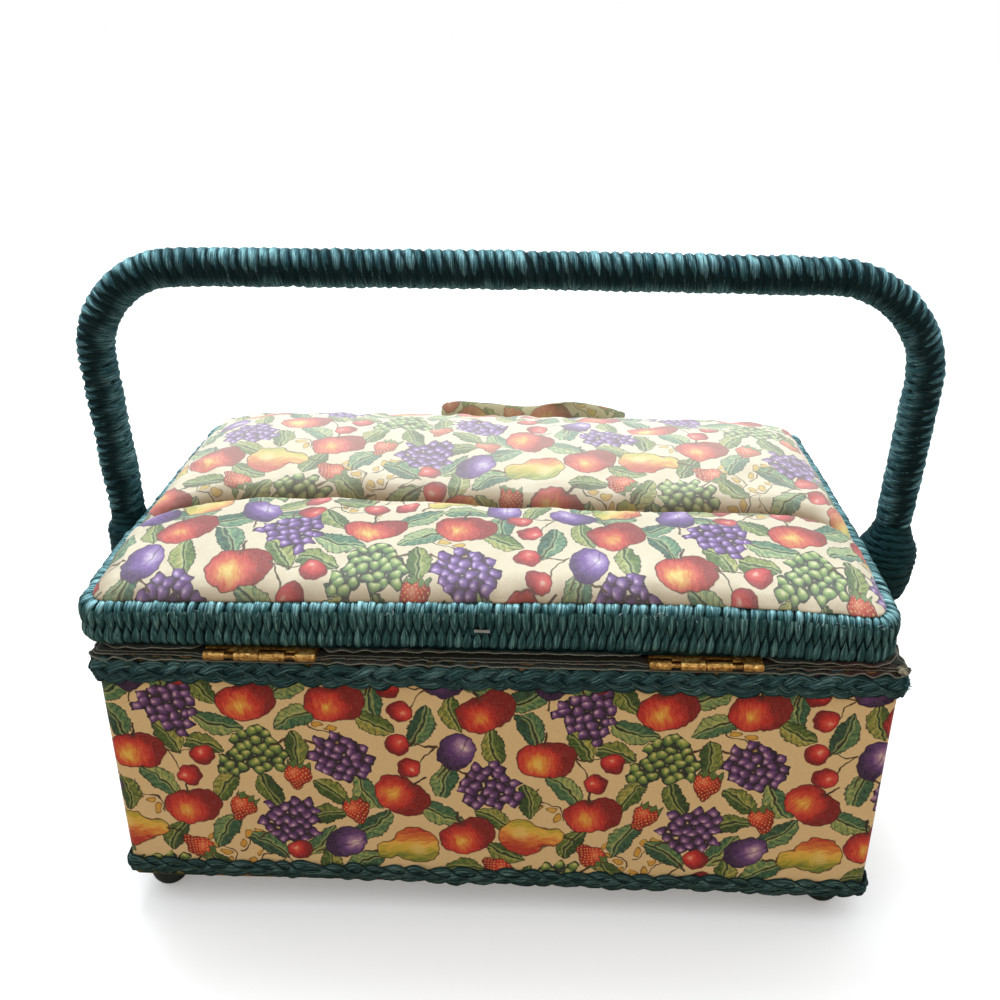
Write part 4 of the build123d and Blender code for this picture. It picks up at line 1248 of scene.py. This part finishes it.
def top_sheet(name, X_, Y_, Zt, Zb, body, mat, replaces, uv=None):
    """A closed cloth or pad between two height fields on one grid."""
    n, m = X_.shape
    top = np.dstack([X_, Y_, Zt])
    bot = np.dstack([X_, Y_, Zb])
    bag = Bag()
    U, V = (X_ / 100, Y_ / 100) if uv is None else uv
    b0 = bag.grid(top, U, V, around=False, along=False, flip=False)
    b1 = bag.grid(bot, U, V, around=False, along=False, flip=True)
    loop = [(i, 0) for i in range(n - 1)] + [(n - 1, j) for j in range(m - 1)] + [(i, m - 1) for i in range(n - 1, 0, -1)] + [(0, j) for j in range(m - 1, 0, -1)]
    q, uvq = [], []
    for k, (i, j) in enumerate(loop):
        i2, j2 = loop[(k + 1) % len(loop)]
        a, b = i * m + j, i2 * m + j2
        q.append((b0 + a, b1 + a, b1 + b, b0 + b))
        ua, ub = (U[i, j], V[i, j]), (U[i2, j2], V[i2, j2])
        uvq.append((ua, ua, ub, ub))
    bag.quads(q, uvq)
    ob = bag.build(name)
    return finish_piece(ob, body, mat, replaces)


LID_PRINT = print_material("print_cloth_lid_mat", shift=(8.0, 44.0), tint=(0.87, 0.89, 0.97), depth=1.02, pale=(0.10, 0.29), wash=lin(250, 242, 230))
# painted shade: the tab's copy of the print is darker and duller, and washes towards a dark olive where it arches over
# the rim
TAB_PRINT = print_material("print_cloth_tab_mat", shift=(8.0, 44.0), tint=(0.86, 0.86, 0.75), depth=1.0, pale=(0.04, 0.55), wash=lin(149, 149, 114))
LX, LY, LH, LE, LZ, UX, UY = lid_cloth()
ZT = 136.0 + LH + LZ


def stuff_cloth(X_, Y_, Z_, edge, crease, frames=14):
    """Lets the cloth settle a little over its stuffing, held at the rim and along the crease."""
    n, m = X_.shape
    bag = Bag()
    bag.grid(np.dstack([X_, Y_, Z_]), X_ / 100, Y_ / 100, around=False, along=False, flip=False)
    ob = bag.build("lid_cloth_sim")
    vg = ob.vertex_groups.new(name="pin")
    w = np.maximum(np.clip(1 - edge / 5.0, 0, 1), np.clip(1 - (crease - 4.0) / 5.0, 0, 1)).ravel()
    for i in np.flatnonzero(w > 0.01):
        vg.add([int(i)], float(w[i]), "REPLACE")
    mod = ob.modifiers.new("cloth", "CLOTH")
    c = mod.settings
    c.quality = 5
    c.mass = 0.15
    c.tension_stiffness = c.compression_stiffness = 20
    c.shear_stiffness = 8
    c.bending_stiffness = 1.2
    c.vertex_group_mass = "pin"
    c.pin_stiffness = 5.0
    c.use_pressure = True
    c.uniform_pressure_force = 0.35
    c.shrink_min = c.shrink_max = -0.010
    c.effector_weights.gravity = 0.0
    mod.collision_settings.use_collision = False
    mod.collision_settings.use_self_collision = False
    mod.point_cache.frame_start, mod.point_cache.frame_end = 1, frames
    for f in range(1, frames + 1):
        scene.frame_set(f)
    dg = bpy.context.evaluated_depsgraph_get()
    me = ob.evaluated_get(dg).to_mesh()
    co = np.zeros(len(me.vertices) * 3)
    me.vertices.foreach_get("co", co)
    co = co.reshape(-1, 3) * 1000
    ob.evaluated_get(dg).to_mesh_clear()
    scene.frame_set(1)
    bpy.data.objects.remove(ob, do_unlink=True)
    rest = np.dstack([X_, Y_, Z_]).reshape(-1, 3)
    move = co + np.array([OX, OY, 0]) - rest
    far = np.linalg.norm(move, axis=1, keepdims=True)
    move *= np.minimum(1, 1.2 / np.maximum(far, 1e-6))
    return move.reshape(n, m, 3)


MOVE = stuff_cloth(LX, LY, ZT, LE, np.abs(UY - CREASE(UX)))
top_pts = np.dstack([LX, LY, ZT]) + MOVE
cover = top_sheet("lid_print_cloth", LX, LY, ZT, ZT - 0.7, "lid", LID_PRINT, ["lid_cover"], (UX / 100, UY / 100))
co = np.concatenate([top_pts.reshape(-1, 3), (top_pts - [0, 0, 0.7]).reshape(-1, 3)])
cover.data.vertices.foreach_set("co", mm(co).astype(np.float32).ravel())
DC = UY - CREASE(UX)
# painted shade: darker in the crease and for some millimetres up its far side, a little on its near side
LID_SHADE = 0.95 * np.exp(-(np.clip(DC - 1.5, 0, None) / 7.0) ** 2) * smooth(-2.2, 0.6, DC) * smooth(139, 120, np.abs(UX)) + 0.20 * np.exp(-((DC + 1.0) / 3.0) ** 2)
# painted shade: the cloth is darker where it turns down behind the rim, most of all along the hinge side
NEAR = smooth(-45, -70, UY) * (1 - 0.75 * smooth(70, 98, UX))
LID_SHADE = np.maximum(LID_SHADE, (0.12 + 0.60 * NEAR) * np.clip(1 - LE / (5.0 + 4.5 * NEAR), 0, 1) ** 1.35)
# the cloth is washed paler towards the lid's far half
FAR_PALER = smooth(-50, 25, UY)
cover.data.attributes.new("fade_and_painted_light", "FLOAT", "POINT") if "fade_and_painted_light" not in cover.data.attributes else None
cover.data.attributes["fade_and_painted_light"].data.foreach_set("value", np.tile(FAR_PALER.ravel(), 2).astype(np.float32))
cover.data.attributes.new("painted_shade", "FLOAT", "POINT").data.foreach_set("value", np.tile(np.clip(LID_SHADE, 0, 1).ravel(), 2).astype(np.float32))
cover.data.update()

WADDING = plain_material("wadding_mat", lin(226, 222, 210), lin(246, 243, 234), 180.0, (0.9, 0.98), 0.6, dist=0.0012)
gx, gy, gz = top_pts[::2, ::2, 0], top_pts[::2, ::2, 1], top_pts[::2, ::2, 2]
mx, my = gx.mean(), gy.mean()
pad = top_sheet("lid_stuffing", mx + (gx - mx) * 0.985, my + (gy - my) * 0.978, np.maximum(gz - 1.5, 131.0), np.full_like(gz, 130.05), "lid", WADDING, ["lid_pad"])


# ------------------------------------------------------------------ closing tab
def closing_tab():
    path = np.array([(77.4, 135.6), (80.2, 138.6), (82.0, 141.2), (84.4, 143.0), (87.6, 143.5), (90.4, 142.9), (92.0, 140.6), (92.7, 136.5),
                     (92.6, 128.0), (92.3, 118.0), (92.2, 108.0), (92.2, 101.2)])
    L = np.concatenate([[0], np.cumsum(np.linalg.norm(np.diff(path, axis=0), axis=1))])
    nt, nx = 66, 61
    t = np.linspace(0, L[-1], nt)
    y, z = np.interp(t, L, path[:, 0]), np.interp(t, L, path[:, 1])
    ker = np.array([1, 2, 3, 2, 1]) / 9
    y[2:-2], z[2:-2] = np.convolve(y, ker, "valid"), np.convolve(z, ker, "valid")
    lift = lerp_table([(-31, 1.3), (-28.5, 2.4), (-22, 2.9), (-10, 2.0), (0, 0.9), (8.6, -0.2), (14, 0.3), (22, 2.4), (30.6, 3.5), (38, 2.8), (46, 1.2), (51, -0.3), (55, -1.8), (58, -3.0)])
    u = np.linspace(-1, 1, nx)
    u = np.sign(u) * (1 - (1 - np.abs(u)) ** 1.3)
    w = wobble(111)
    rows_o, rows_i = np.zeros((nt, nx, 3)), np.zeros((nt, nx, 3))
    dy, dz = np.gradient(y), np.gradient(z)
    l = np.hypot(dy, dz)
    ny_, nz_ = -dz / l, dy / l          # up over the rim, then away from the box
    for i in range(nt):
        # lower corners are round
        down = max(0.0, 115.2 - z[i]) if t[i] > 25 else 0.0
        cut = 14.0 - math.sqrt(max(14.0 ** 2 - down ** 2, 0.0)) if down > 0 else 0.0
        half = 44.0 - cut
        x = 13.5 + half * u
        x += 0.35 * w(t[i] / 30.0)
        over_rim = math.exp(-((y[i] - 86.2) / 5.0) ** 2) if t[i] < 26 else 0.0
        hump = np.exp(-((x - 26.0) / 9.0) ** 2)
        lf = lift(x) * over_rim
        puff = 0.30 * (1 - u ** 2) * (1 + 0.5 * w(x / 24.0 + t[i] / 60.0))
        seam = -0.35 * (np.exp(-((np.abs(x - 13.5) - (half - 3.2)) / 0.7) ** 2))
        edge = np.sqrt(np.clip(1 - np.abs(u) ** 14, 0.02, 1))
        end = math.sqrt(min(1.0, max(0.05, (L[-1] - t[i]) / 1.2)))
        th = 1.02 * edge * end
        a = puff * 0.5 + seam
        yy = y[i] + (2.2 * hump if y[i] < 85 and t[i] < 14 else 0.0) * smooth(0, 3, t[i]) * smooth(14, 8, t[i])
        o = th + np.maximum(a, -0.5)
        rows_o[i] = np.stack([x, yy + ny_[i] * o, z[i] + nz_[i] * o + lf], -1)
        rows_i[i] = np.stack([x, yy - ny_[i] * th, z[i] - nz_[i] * th + lf], -1)
    bag = Bag()
    U = np.tile((13.5 + 44 * u)[None] / 100, (nt, 1))
    V = np.tile((95 + t)[:, None] / 100, (1, nx))
    # painted shade: darker and duller where it arches over the rim
    arch_shade = np.tile(smooth(33.0, 19.0, t)[:, None], (1, nx))
    b0 = bag.grid(rows_o, U, V, around=False, along=False, flip=True, fade_and_painted_light=arch_shade)
    b1 = bag.grid(rows_i, U, V, around=False, along=False, flip=False, fade_and_painted_light=arch_shade)
    loop = [(i, 0) for i in range(nt - 1)] + [(nt - 1, j) for j in range(nx - 1)] + [(i, nx - 1) for i in range(nt - 1, 0, -1)] + [(0, j) for j in range(nx - 1, 0, -1)]
    q, uvq = [], []
    for k, (i, j) in enumerate(loop):
        i2, j2 = loop[(k + 1) % len(loop)]
        a, b = i * nx + j, i2 * nx + j2
        q.append((b0 + a, b0 + b, b1 + b, b1 + a))
        ua, ub = (U[i, j], V[i, j]), (U[i2, j2], V[i2, j2])
        uvq.append((ua, ub, ub, ua))
    bag.quads(q, uvq)
    ob = bag.build("closing_tab_cloth")
    # painted shade all over the tab, most on its arch
    ob.data.attributes.new("painted_shade", "FLOAT", "POINT").data.foreach_set("value", np.tile(0.08 + 0.32 * arch_shade.ravel(), 2).astype(np.float32))
    return ob


tab = closing_tab()
tab.data.materials.append(TAB_PRINT)
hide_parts("closing_tab_root", "closing_tab_flap")
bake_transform(tab)


# ------------------------------------------------------------------ turned-in cloth edges
HINGES = ((-100.2, -61.6), (53.2, 91.8))


def lip(name, node, body, w, d, r, layers, inner, seed):
    """Thin layers of turned-in cloth whose cut edges wave in and out of the joint."""
    bag = Bag()
    P, N, s, total = rounded_loop(w, d, r, 0.9)
    if body == "box":
        P = box_shift(P, 113.0)
    n = len(s)
    near_hinge = np.zeros(n)
    for a, b in HINGES:
        near_hinge = np.maximum(near_hinge, smooth(a - 5, a - 1, P[:, 0]) * smooth(b + 5, b + 1, P[:, 0]) * (P[:, 1] < -60))
    for k, (z, out, t, sag, clear, amp) in enumerate(layers):
        a = ring_noise(seed + 3 * k, total, 12, 84, 132)
        b = ring_noise(seed + 3 * k + 1, total, 9, 12, 40)
        c = ring_noise(seed + 3 * k + 2, total, 12, 150, 330)
        back_off = (out + 2.7) * near_hinge if body == "lid" else 0.0
        follow = 0.0
        if body == "lid":
            bow = lid_shift(P[:, 0], P[:, 1], 118.0)[2]
            follow = 0.85 * np.maximum(bow, 0) * (1 - near_hinge) + 0.45 * np.minimum(bow, 0)
        o = out + amp * (0.38 * b(s) + 0.30 * a(s)) * (1 - 0.7 * near_hinge) + 0.09 * c(s) - back_off
        zz = z + sag * (1.15 * a(s) + 0.45 * b(s)) * (1 - 0.85 * near_hinge) + clear * near_hinge + follow
        flat_in = z + clear * near_hinge + follow
        mid = flat_in * 0.55 + zz * 0.45
        cols = [(inner, flat_in - t / 2), (out - 2.6 - back_off, mid - t / 2), (o - 0.5, zz - t / 2), (o, zz - t / 2 + 0.05), (o, zz + t / 2 - 0.05), (o - 0.5, zz + t / 2), (out - 2.6 - back_off, mid + t / 2), (inner, flat_in + t / 2)]
        ring = np.zeros((n, len(cols), 3))
        for j, (off, zc) in enumerate(cols):
            ring[:, j, :2] = P + N * (off[:, None] if np.ndim(off) else off)
            ring[:, j, 2] = zc
        V = np.array([0, 0.05, 0.09, 0.100, 0.104, 0.114, 0.154, 0.20, 0.22]) + 0.3 * k
        bag.grid(ring, np.append(s, total) / 100, V, around=True, along=True, flip=False)
    ob = bag.build(name)
    return finish_piece(ob, body, LIP, [node])


def lip_material():
    mat, sh = material("turned_edge_mat")
    uv = sh.node("ShaderNodeUVMap", uv_map="weave")
    pos = sh.v("MULTIPLY_ADD", X(sh, uv.outputs[0]), (100.0, 100.0, 0.0), (5.0, 61.0, 0.0))
    gr = sh.node("ShaderNodeGroup")
    gr.node_tree = PRINT
    sh.put(gr.inputs[0], pos)
    u, v, _ = sh.xyz(X(sh, uv.outputs[0]))
    thread = sh.noise(sh.vec(u * 260.0, v * 40.0, 0.0), 1.0, 3.0, 0.7, 0.0, "2D")
    big = sh.noise(sh.vec(u * 9.0, v * 3.0, 0.0), 1.0, 2.0, 0.6, 0.0, "2D")
    # painted shade: the turned-in print cloth is drawn dark, its back near black and its print only in darkened patches
    back = sh.ramp(thread, [(0.3, lin(22, 27, 24)), (0.7, lin(60, 66, 60))])
    fade_and_painted_light = sh.mix(sh.step(big, 0.60, 0.70, 0.0, 0.34), back, sh.mix(1.0, gr.outputs[0], (0.20, 0.10, 0.09), "MULTIPLY"))
    # the print shows through reddish near the right-hand hinge
    red = sh.step((u - 1.24).abs(), 0.16, 0.04) * sh.step(thread, 0.35, 0.6, 0.4, 0.9)
    c = sh.mix(red * 0.7, fade_and_painted_light, lin(96, 44, 42))
    vv = sh.m("MODULO", v, 0.3)
    cut = sh.step((vv - 0.102).abs(), 0.012, 0.004)
    c = sh.mix(cut * sh.step(thread, 0.3, 0.6, 0.3, 0.9), c, lin(140, 138, 124))
    surface(sh, c, 0.95, thread, 0.5, 0.0004, Sheen_Weight=0.1, Specular_IOR_Level=0.12)
    return mat


LIP = lip_material()
body_lip = lip("box_turned_edge", "box_lining_edge", "box", 280.4, 171.0, 2.6,
               [(113.8, 2.1, 0.42, 0.56, -0.1, 1.0), (114.85, 0.7, 0.24, 0.30, -0.5, 1.0), (115.4, -0.4, 0.22, 0.16, -0.8, 0.8)], -5.6, 121)
lid_lip = lip("lid_turned_edge", "lid_lining_edge", "lid", 280.0, 172.0, 11.0,
              [(117.75, 0.7, 0.26, 0.42, 0.0, 1.1), (116.95, -1.2, 0.24, 0.22, 0.66, 0.8)], -7.8, 141)
CREAM = plain_material("raw_edge_mat", lin(150, 142, 116), lin(222, 214, 190), 900.0, (0.9, 0.98), 0.3, dist=0.0002)
tuft("raw_edge_fray", "box", CREAM, (139.2, -85.6, 114.9), (0.9, 1.6, 0.8), 70, 2.3, 0.14, 9, (0.65, -0.65, 0.25))


# ------------------------------------------------------------------ lining inside
def satin_material(name, a, b):
    mat, sh = material(name)
    uv = sh.node("ShaderNodeUVMap", uv_map="weave")
    pos = sh.v("MULTIPLY", X(sh, uv.outputs[0]), (100.0, 100.0, 0.0))
    n = sh.noise(sh.v("MULTIPLY", pos, (0.25, 5.0, 1.0)), 1.0, 2.0, 0.6, 0.0, "2D")
    big = sh.noise(pos, 0.05, 2.0, 0.5, 0.0, "2D")
    c = sh.ramp(n * 0.5 + big * 0.5, [(0.3, a), (0.7, b)])
    surface(sh, c, sh.step(n, 0.3, 0.7, 0.34, 0.5), n, 0.25, 0.0002, Sheen_Weight=0.5, Sheen_Roughness=0.3, Specular_IOR_Level=0.6)
    return mat


SATIN = satin_material("lining_satin_mat", lin(120, 158, 150), lin(168, 198, 188))


def wall_lining():
    P, N, s, total = rounded_loop(272.0, 163.0, 1.5, 1.5)
    n = len(s)
    zs = np.concatenate([np.linspace(15.8, 20, 6), np.linspace(24, 108, 24), np.linspace(110, 113.6, 6)])
    S, Z = np.meshgrid(s, zs, indexing="ij")
    a = ring_noise(151, total, 12, 60, 140)
    b = ring_noise(152, total, 8, 20, 60)
    # gathered along the top and bottom seams
    fold = (0.34 * a(S + 0.02 * Z) + 0.25 * b(S)) * (0.35 + 0.65 * np.abs((Z - 64) / 50) ** 1.5)
    depth = 1.35 + 0.25 * np.sin(np.pi * (Z - 15) / 99) + fold * 0.5
    depth = np.minimum(depth, 1.95)
    inn = np.dstack([P[:, None, 0] - N[:, None, 0] * depth, P[:, None, 1] - N[:, None, 1] * depth, Z])
    out = np.dstack([P[:, None, 0] + 0 * Z, P[:, None, 1] + 0 * Z, Z])
    ring = np.concatenate([out, inn[:, ::-1]], 1)
    m = ring.shape[1]
    U = np.tile(np.append(s, total)[:, None] / 100, (1, m + 1))
    V = np.concatenate([zs, zs[::-1], zs[:1]]) / 100
    bag = Bag()
    bag.grid(ring, U, np.tile(V[None], (n + 1, 1)), around=True, along=True, flip=False)
    return finish_piece(bag.build("box_wall_lining"), "box", SATIN, ["wall_lining"])


wl = wall_lining()


def quilt(name, node, body, w, d, z0, z1, up, cell, body_shift=0.0):
    """A stuffed panel sewn down in diamonds, soft side up or down."""
    nx, ny = 121, 75
    x, y = np.linspace(-w / 2, w / 2, nx), np.linspace(-d / 2, d / 2, ny)
    X_, Y_ = np.meshgrid(x, y, indexing="ij")
    a = (X_ + Y_ * 1.15) / cell
    b = (X_ - Y_ * 1.15) / cell
    fa, fb = np.abs(np.sin(np.pi * a)), np.abs(np.sin(np.pi * b))
    puff = (np.minimum(fa, fb) ** 0.45) * 0.8 + 0.2 * (fa * fb)
    edge = np.minimum(w / 2 - np.abs(X_), d / 2 - np.abs(Y_))
    wz = wobble(161)
    h = (0.45 + 0.55 * puff) * smooth(-0.5, 5.0, edge) + 0.03 * wz(X_ / 9.0 + Y_ / 13.0)
    h = np.clip(h, 0.05, 1.0)
    full = (z1 - z0)
    if up:
        Zt, Zb = z0 + 0.6 + (full - 0.6) * h, np.full_like(h, z0 + 0.02)
    else:
        Zt, Zb = np.full_like(h, z1 - 0.02), z1 - (full - 0.3) * (0.82 + 0.18 * h) * smooth(-1.5, 2.5, edge) - 0.3
    return top_sheet(name, X_, Y_, Zt, Zb, body, SATIN, [node])


quilt("floor_quilt", "floor_pad", "box", 266.6, 157.6, 15.6, 20.4, True, 34.0)
quilt("lid_quilt", "lid_lining", "lid", 263.0, 155.0, 115.6, 127.0, False, 34.0)

# ------------------------------------------------------------------ finishes of the CAD pieces
BRASS = None


def brass_material():
    mat, sh = material("worn_brass_mat")
    tc = sh.node("ShaderNodeTexCoord")
    o = X(sh, tc.outputs["Object"])
    n = sh.noise(o, 520.0, 5.0, 0.68)
    g = sh.noise(o, 2600.0, 3.0, 0.7)
    t = n * 0.6 + g * 0.4
    c = sh.ramp(t, [(0.36, lin(58, 36, 14)), (0.47, lin(150, 106, 50)), (0.57, lin(220, 174, 98)), (0.70, lin(255, 236, 180))])
    r = sh.step(t, 0.4, 0.65, 0.40, 0.16)
    surface(sh, c, r, g * 0.7 + n * 0.5, 0.45, 0.00022, Metallic=0.72)
    return mat


def steel_material():
    mat, sh = material("bright_steel_mat")
    tc = sh.node("ShaderNodeTexCoord")
    o = X(sh, tc.outputs["Object"])
    n = sh.noise(sh.v("MULTIPLY", o, (1.0, 6.0, 6.0)), 340.0, 4.0, 0.6)
    c = sh.ramp(n, [(0.3, lin(150, 152, 152)), (0.7, lin(214, 216, 214))])
    surface(sh, c, sh.step(n, 0.3, 0.7, 0.22, 0.38), n, 0.15, 0.0001, Metallic=1.0)
    return mat


def chip_material():
    mat, sh = material("chipboard_mat")
    tc = sh.node("ShaderNodeTexCoord")
    o = X(sh, tc.outputs["Object"])
    vo = sh.node("ShaderNodeTexVoronoi", feature="F1")
    sh.put(vo.inputs["Vector"], o)
    sh.put(vo.inputs["Scale"], 420.0)
    n = sh.noise(o, 900.0, 3.0, 0.6)
    t = X(sh, sh.node("ShaderNodeSeparateColor").outputs[0])
    sep = t.s.node
    sh.t.links.new(vo.outputs["Color"], sep.inputs[0])
    c = sh.ramp(t * 0.6 + n * 0.4, [(0.2, lin(142, 112, 74)), (0.5, lin(176, 144, 100)), (0.8, lin(208, 180, 134))])
    surface(sh, c, 0.85, n, 0.4, 0.0003, Specular_IOR_Level=0.2)
    return mat


def wood_material():
    mat, sh = material("rim_wood_mat")
    tc = sh.node("ShaderNodeTexCoord")
    o = X(sh, tc.outputs["Object"])
    n = sh.noise(sh.v("MULTIPLY", o, (30.0, 30.0, 420.0)), 1.0, 4.0, 0.6, 0.6)
    c = sh.ramp(n, [(0.3, lin(120, 86, 52)), (0.7, lin(182, 142, 96))])
    surface(sh, c, 0.7, n, 0.3, 0.0004, Specular_IOR_Level=0.3)
    return mat


def set_nodes(mat, *names):
    for nm in names:
        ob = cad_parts[nm]
        if not ob.material_slots:
            ob.data.materials.append(mat)
        for sl in ob.material_slots:
            sl.link = "OBJECT"
            sl.material = mat


BRASS, STEEL, CHIP, WOOD = brass_material(), steel_material(), chip_material(), wood_material()
finish_piece(rim_core(), "lid", WOOD, ["lid_rim_core"])
FOOT = plain_material("foot_plastic_mat", lin(22, 34, 34), lin(40, 56, 55), 160.0, (0.34, 0.5), 0.15, dist=0.0002)
PAPER = plain_material("base_sheet_mat", lin(52, 60, 58), lin(78, 88, 84), 900.0, (0.9, 0.97), 0.4, dist=0.0003)
STUFF = plain_material("filler_cord_mat", lin(140, 126, 96), lin(190, 176, 140), 700.0, (0.9, 0.97), 0.6, dist=0.0005)
HOOK = plain_material("hook_loop_mat", lin(30, 62, 62), lin(56, 98, 96), 1500.0, (0.9, 1.0), 1.0, dist=0.0007)
set_nodes(BRASS, "hinge_leaf_body_left", "hinge_leaf_body_right", "hinge_leaf_lid_left", "hinge_leaf_lid_right",
          "hinge_pin_left", "hinge_pin_right", "hinge_screws_body", "hinge_screws_lid", "pivot_bush_left", "pivot_bush_right")
set_nodes(STEEL, "rim_staple", "handle_rod", "rod_end_caps", "spacer_sleeve_right", "foot_nails")
set_nodes(CHIP, "wall_hinge_side", "wall_latch_side", "wall_left_end", "wall_right_end", "bottom_board", "lid_board")
set_nodes(FOOT, "feet")
set_nodes(PAPER, "base_sheet")
set_nodes(STUFF, "handle_filler")
set_nodes(HOOK, "closure_patch_box", "closure_patch_tab")

# ------------------------------------------------------------------ floor, light, camera
def floor():
    me = bpy.data.meshes.new("floor")
    k = 6.0
    me.from_pydata([(-k, -k, -0.0002), (k, -k, -0.0002), (k, k, -0.0002), (-k, k, -0.0002)], [], [(0, 1, 2, 3)])
    ob = bpy.data.objects.new("floor", me)
    scene.collection.objects.link(ob)
    mat, sh = material("floor_mat")
    tc = sh.node("ShaderNodeTexCoord")
    n = sh.noise(X(sh, tc.outputs["Object"]), 6.0, 3.0, 0.5)
    p = surface(sh, sh.ramp(n, [(0.3, (0.84, 0.84, 0.84)), (0.7, (0.86, 0.86, 0.86))]), 0.9, Specular_IOR_Level=0.1,
                Emission_Color=(1.0, 1.0, 1.0), Emission_Strength=0.22)
    # the floor lights the object less than its own white would
    soft = sh.node("ShaderNodeBsdfDiffuse")
    sh.put(soft.inputs["Color"], (0.27, 0.235, 0.20))
    path = sh.node("ShaderNodeLightPath")
    both = sh.node("ShaderNodeMixShader")
    sh.put(both.inputs[0], path.outputs["Is Camera Ray"])
    sh.t.links.new(soft.outputs[0], both.inputs[1])
    sh.t.links.new(p.outputs[0], both.inputs[2])
    sh.t.links.new(both.outputs[0], next(q for q in mat.node_tree.nodes if q.type == "OUTPUT_MATERIAL").inputs[0])
    me.materials.append(mat)


floor()
# A soft overhead studio sky: bright above and behind, dim at the horizon,
# plain white where it is seen directly.
world = bpy.data.worlds.new("studio")
scene.world = world
world.use_nodes = True
world.node_tree.nodes.clear()
wsh = Sh(world.node_tree)
geo = wsh.node("ShaderNodeTexCoord")
up_dir = Vector((-0.10, 0.42, 0.90)).normalized()
facing = wsh.v("DOT_PRODUCT", X(wsh, geo.outputs["Generated"]), tuple(up_dir))
sky = wsh.step(facing, -0.25, 0.98, 0.0, 1.0, "SMOOTHSTEP")
tone = wsh.mix(sky, (0.13, 0.105, 0.085), (1.42, 1.50, 1.55))
lp = wsh.node("ShaderNodeLightPath")
tone = wsh.mix(lp.outputs["Is Camera Ray"], tone, (1.0, 1.0, 1.0))
bgn = wsh.node("ShaderNodeBackground")
wsh.put(bgn.inputs[0], tone)
bgn.inputs[1].default_value = 1.0
wout = wsh.node("ShaderNodeOutputWorld")
world.node_tree.links.new(bgn.outputs[0], wout.inputs[0])


def lamp(name, kind, loc, aim, power, color, **kw):
    l = bpy.data.lights.new(name, kind)
    l.energy = power
    l.color = color
    for k, v in kw.items():
        setattr(l, k, v)
    ob = bpy.data.objects.new(name, l)
    scene.collection.objects.link(ob)
    ob.location = loc
    ob.rotation_mode = "QUATERNION"
    ob.rotation_quaternion = (Vector(aim) - Vector(loc)).to_track_quat("-Z", "Y")
    return ob


lamp("key_above_behind", "SUN", (-0.2, 0.55, 1.3), (0, 0, 0.08), 1.15, (0.93, 0.98, 1.0), angle=0.45)
lamp("fill_front", "AREA", (0.25, -1.5, 0.75), (0, 0, 0.08), 5.0, (1.0, 0.83, 0.64), shape="RECTANGLE", size=1.3, size_y=0.9)

YAW, PITCH, ROLL = math.radians(-1.28), math.radians(25.33), math.radians(0.54)
fwd = Vector((math.sin(YAW) * math.cos(PITCH), math.cos(YAW) * math.cos(PITCH), -math.sin(PITCH)))
right = Vector((math.cos(YAW), -math.sin(YAW), 0.0))
up = right.cross(fwd)
r2 = right * math.cos(ROLL) + up * math.sin(ROLL)
u2 = -right * math.sin(ROLL) + up * math.cos(ROLL)
cam_data = bpy.data.cameras.new("camera")
cam_data.sensor_width = 36.0
cam_data.lens = 1050.0 / 1000.0 * 36.0
cam_data.clip_start, cam_data.clip_end = 0.02, 20.0
cam = bpy.data.objects.new("camera", cam_data)
scene.collection.objects.link(cam)
rot = Matrix((r2, u2, -fwd)).transposed()
cam.matrix_world = Matrix.Translation(Vector((0.004375, -0.3910, 0.3206))) @ rot.to_4x4()
scene.camera = cam
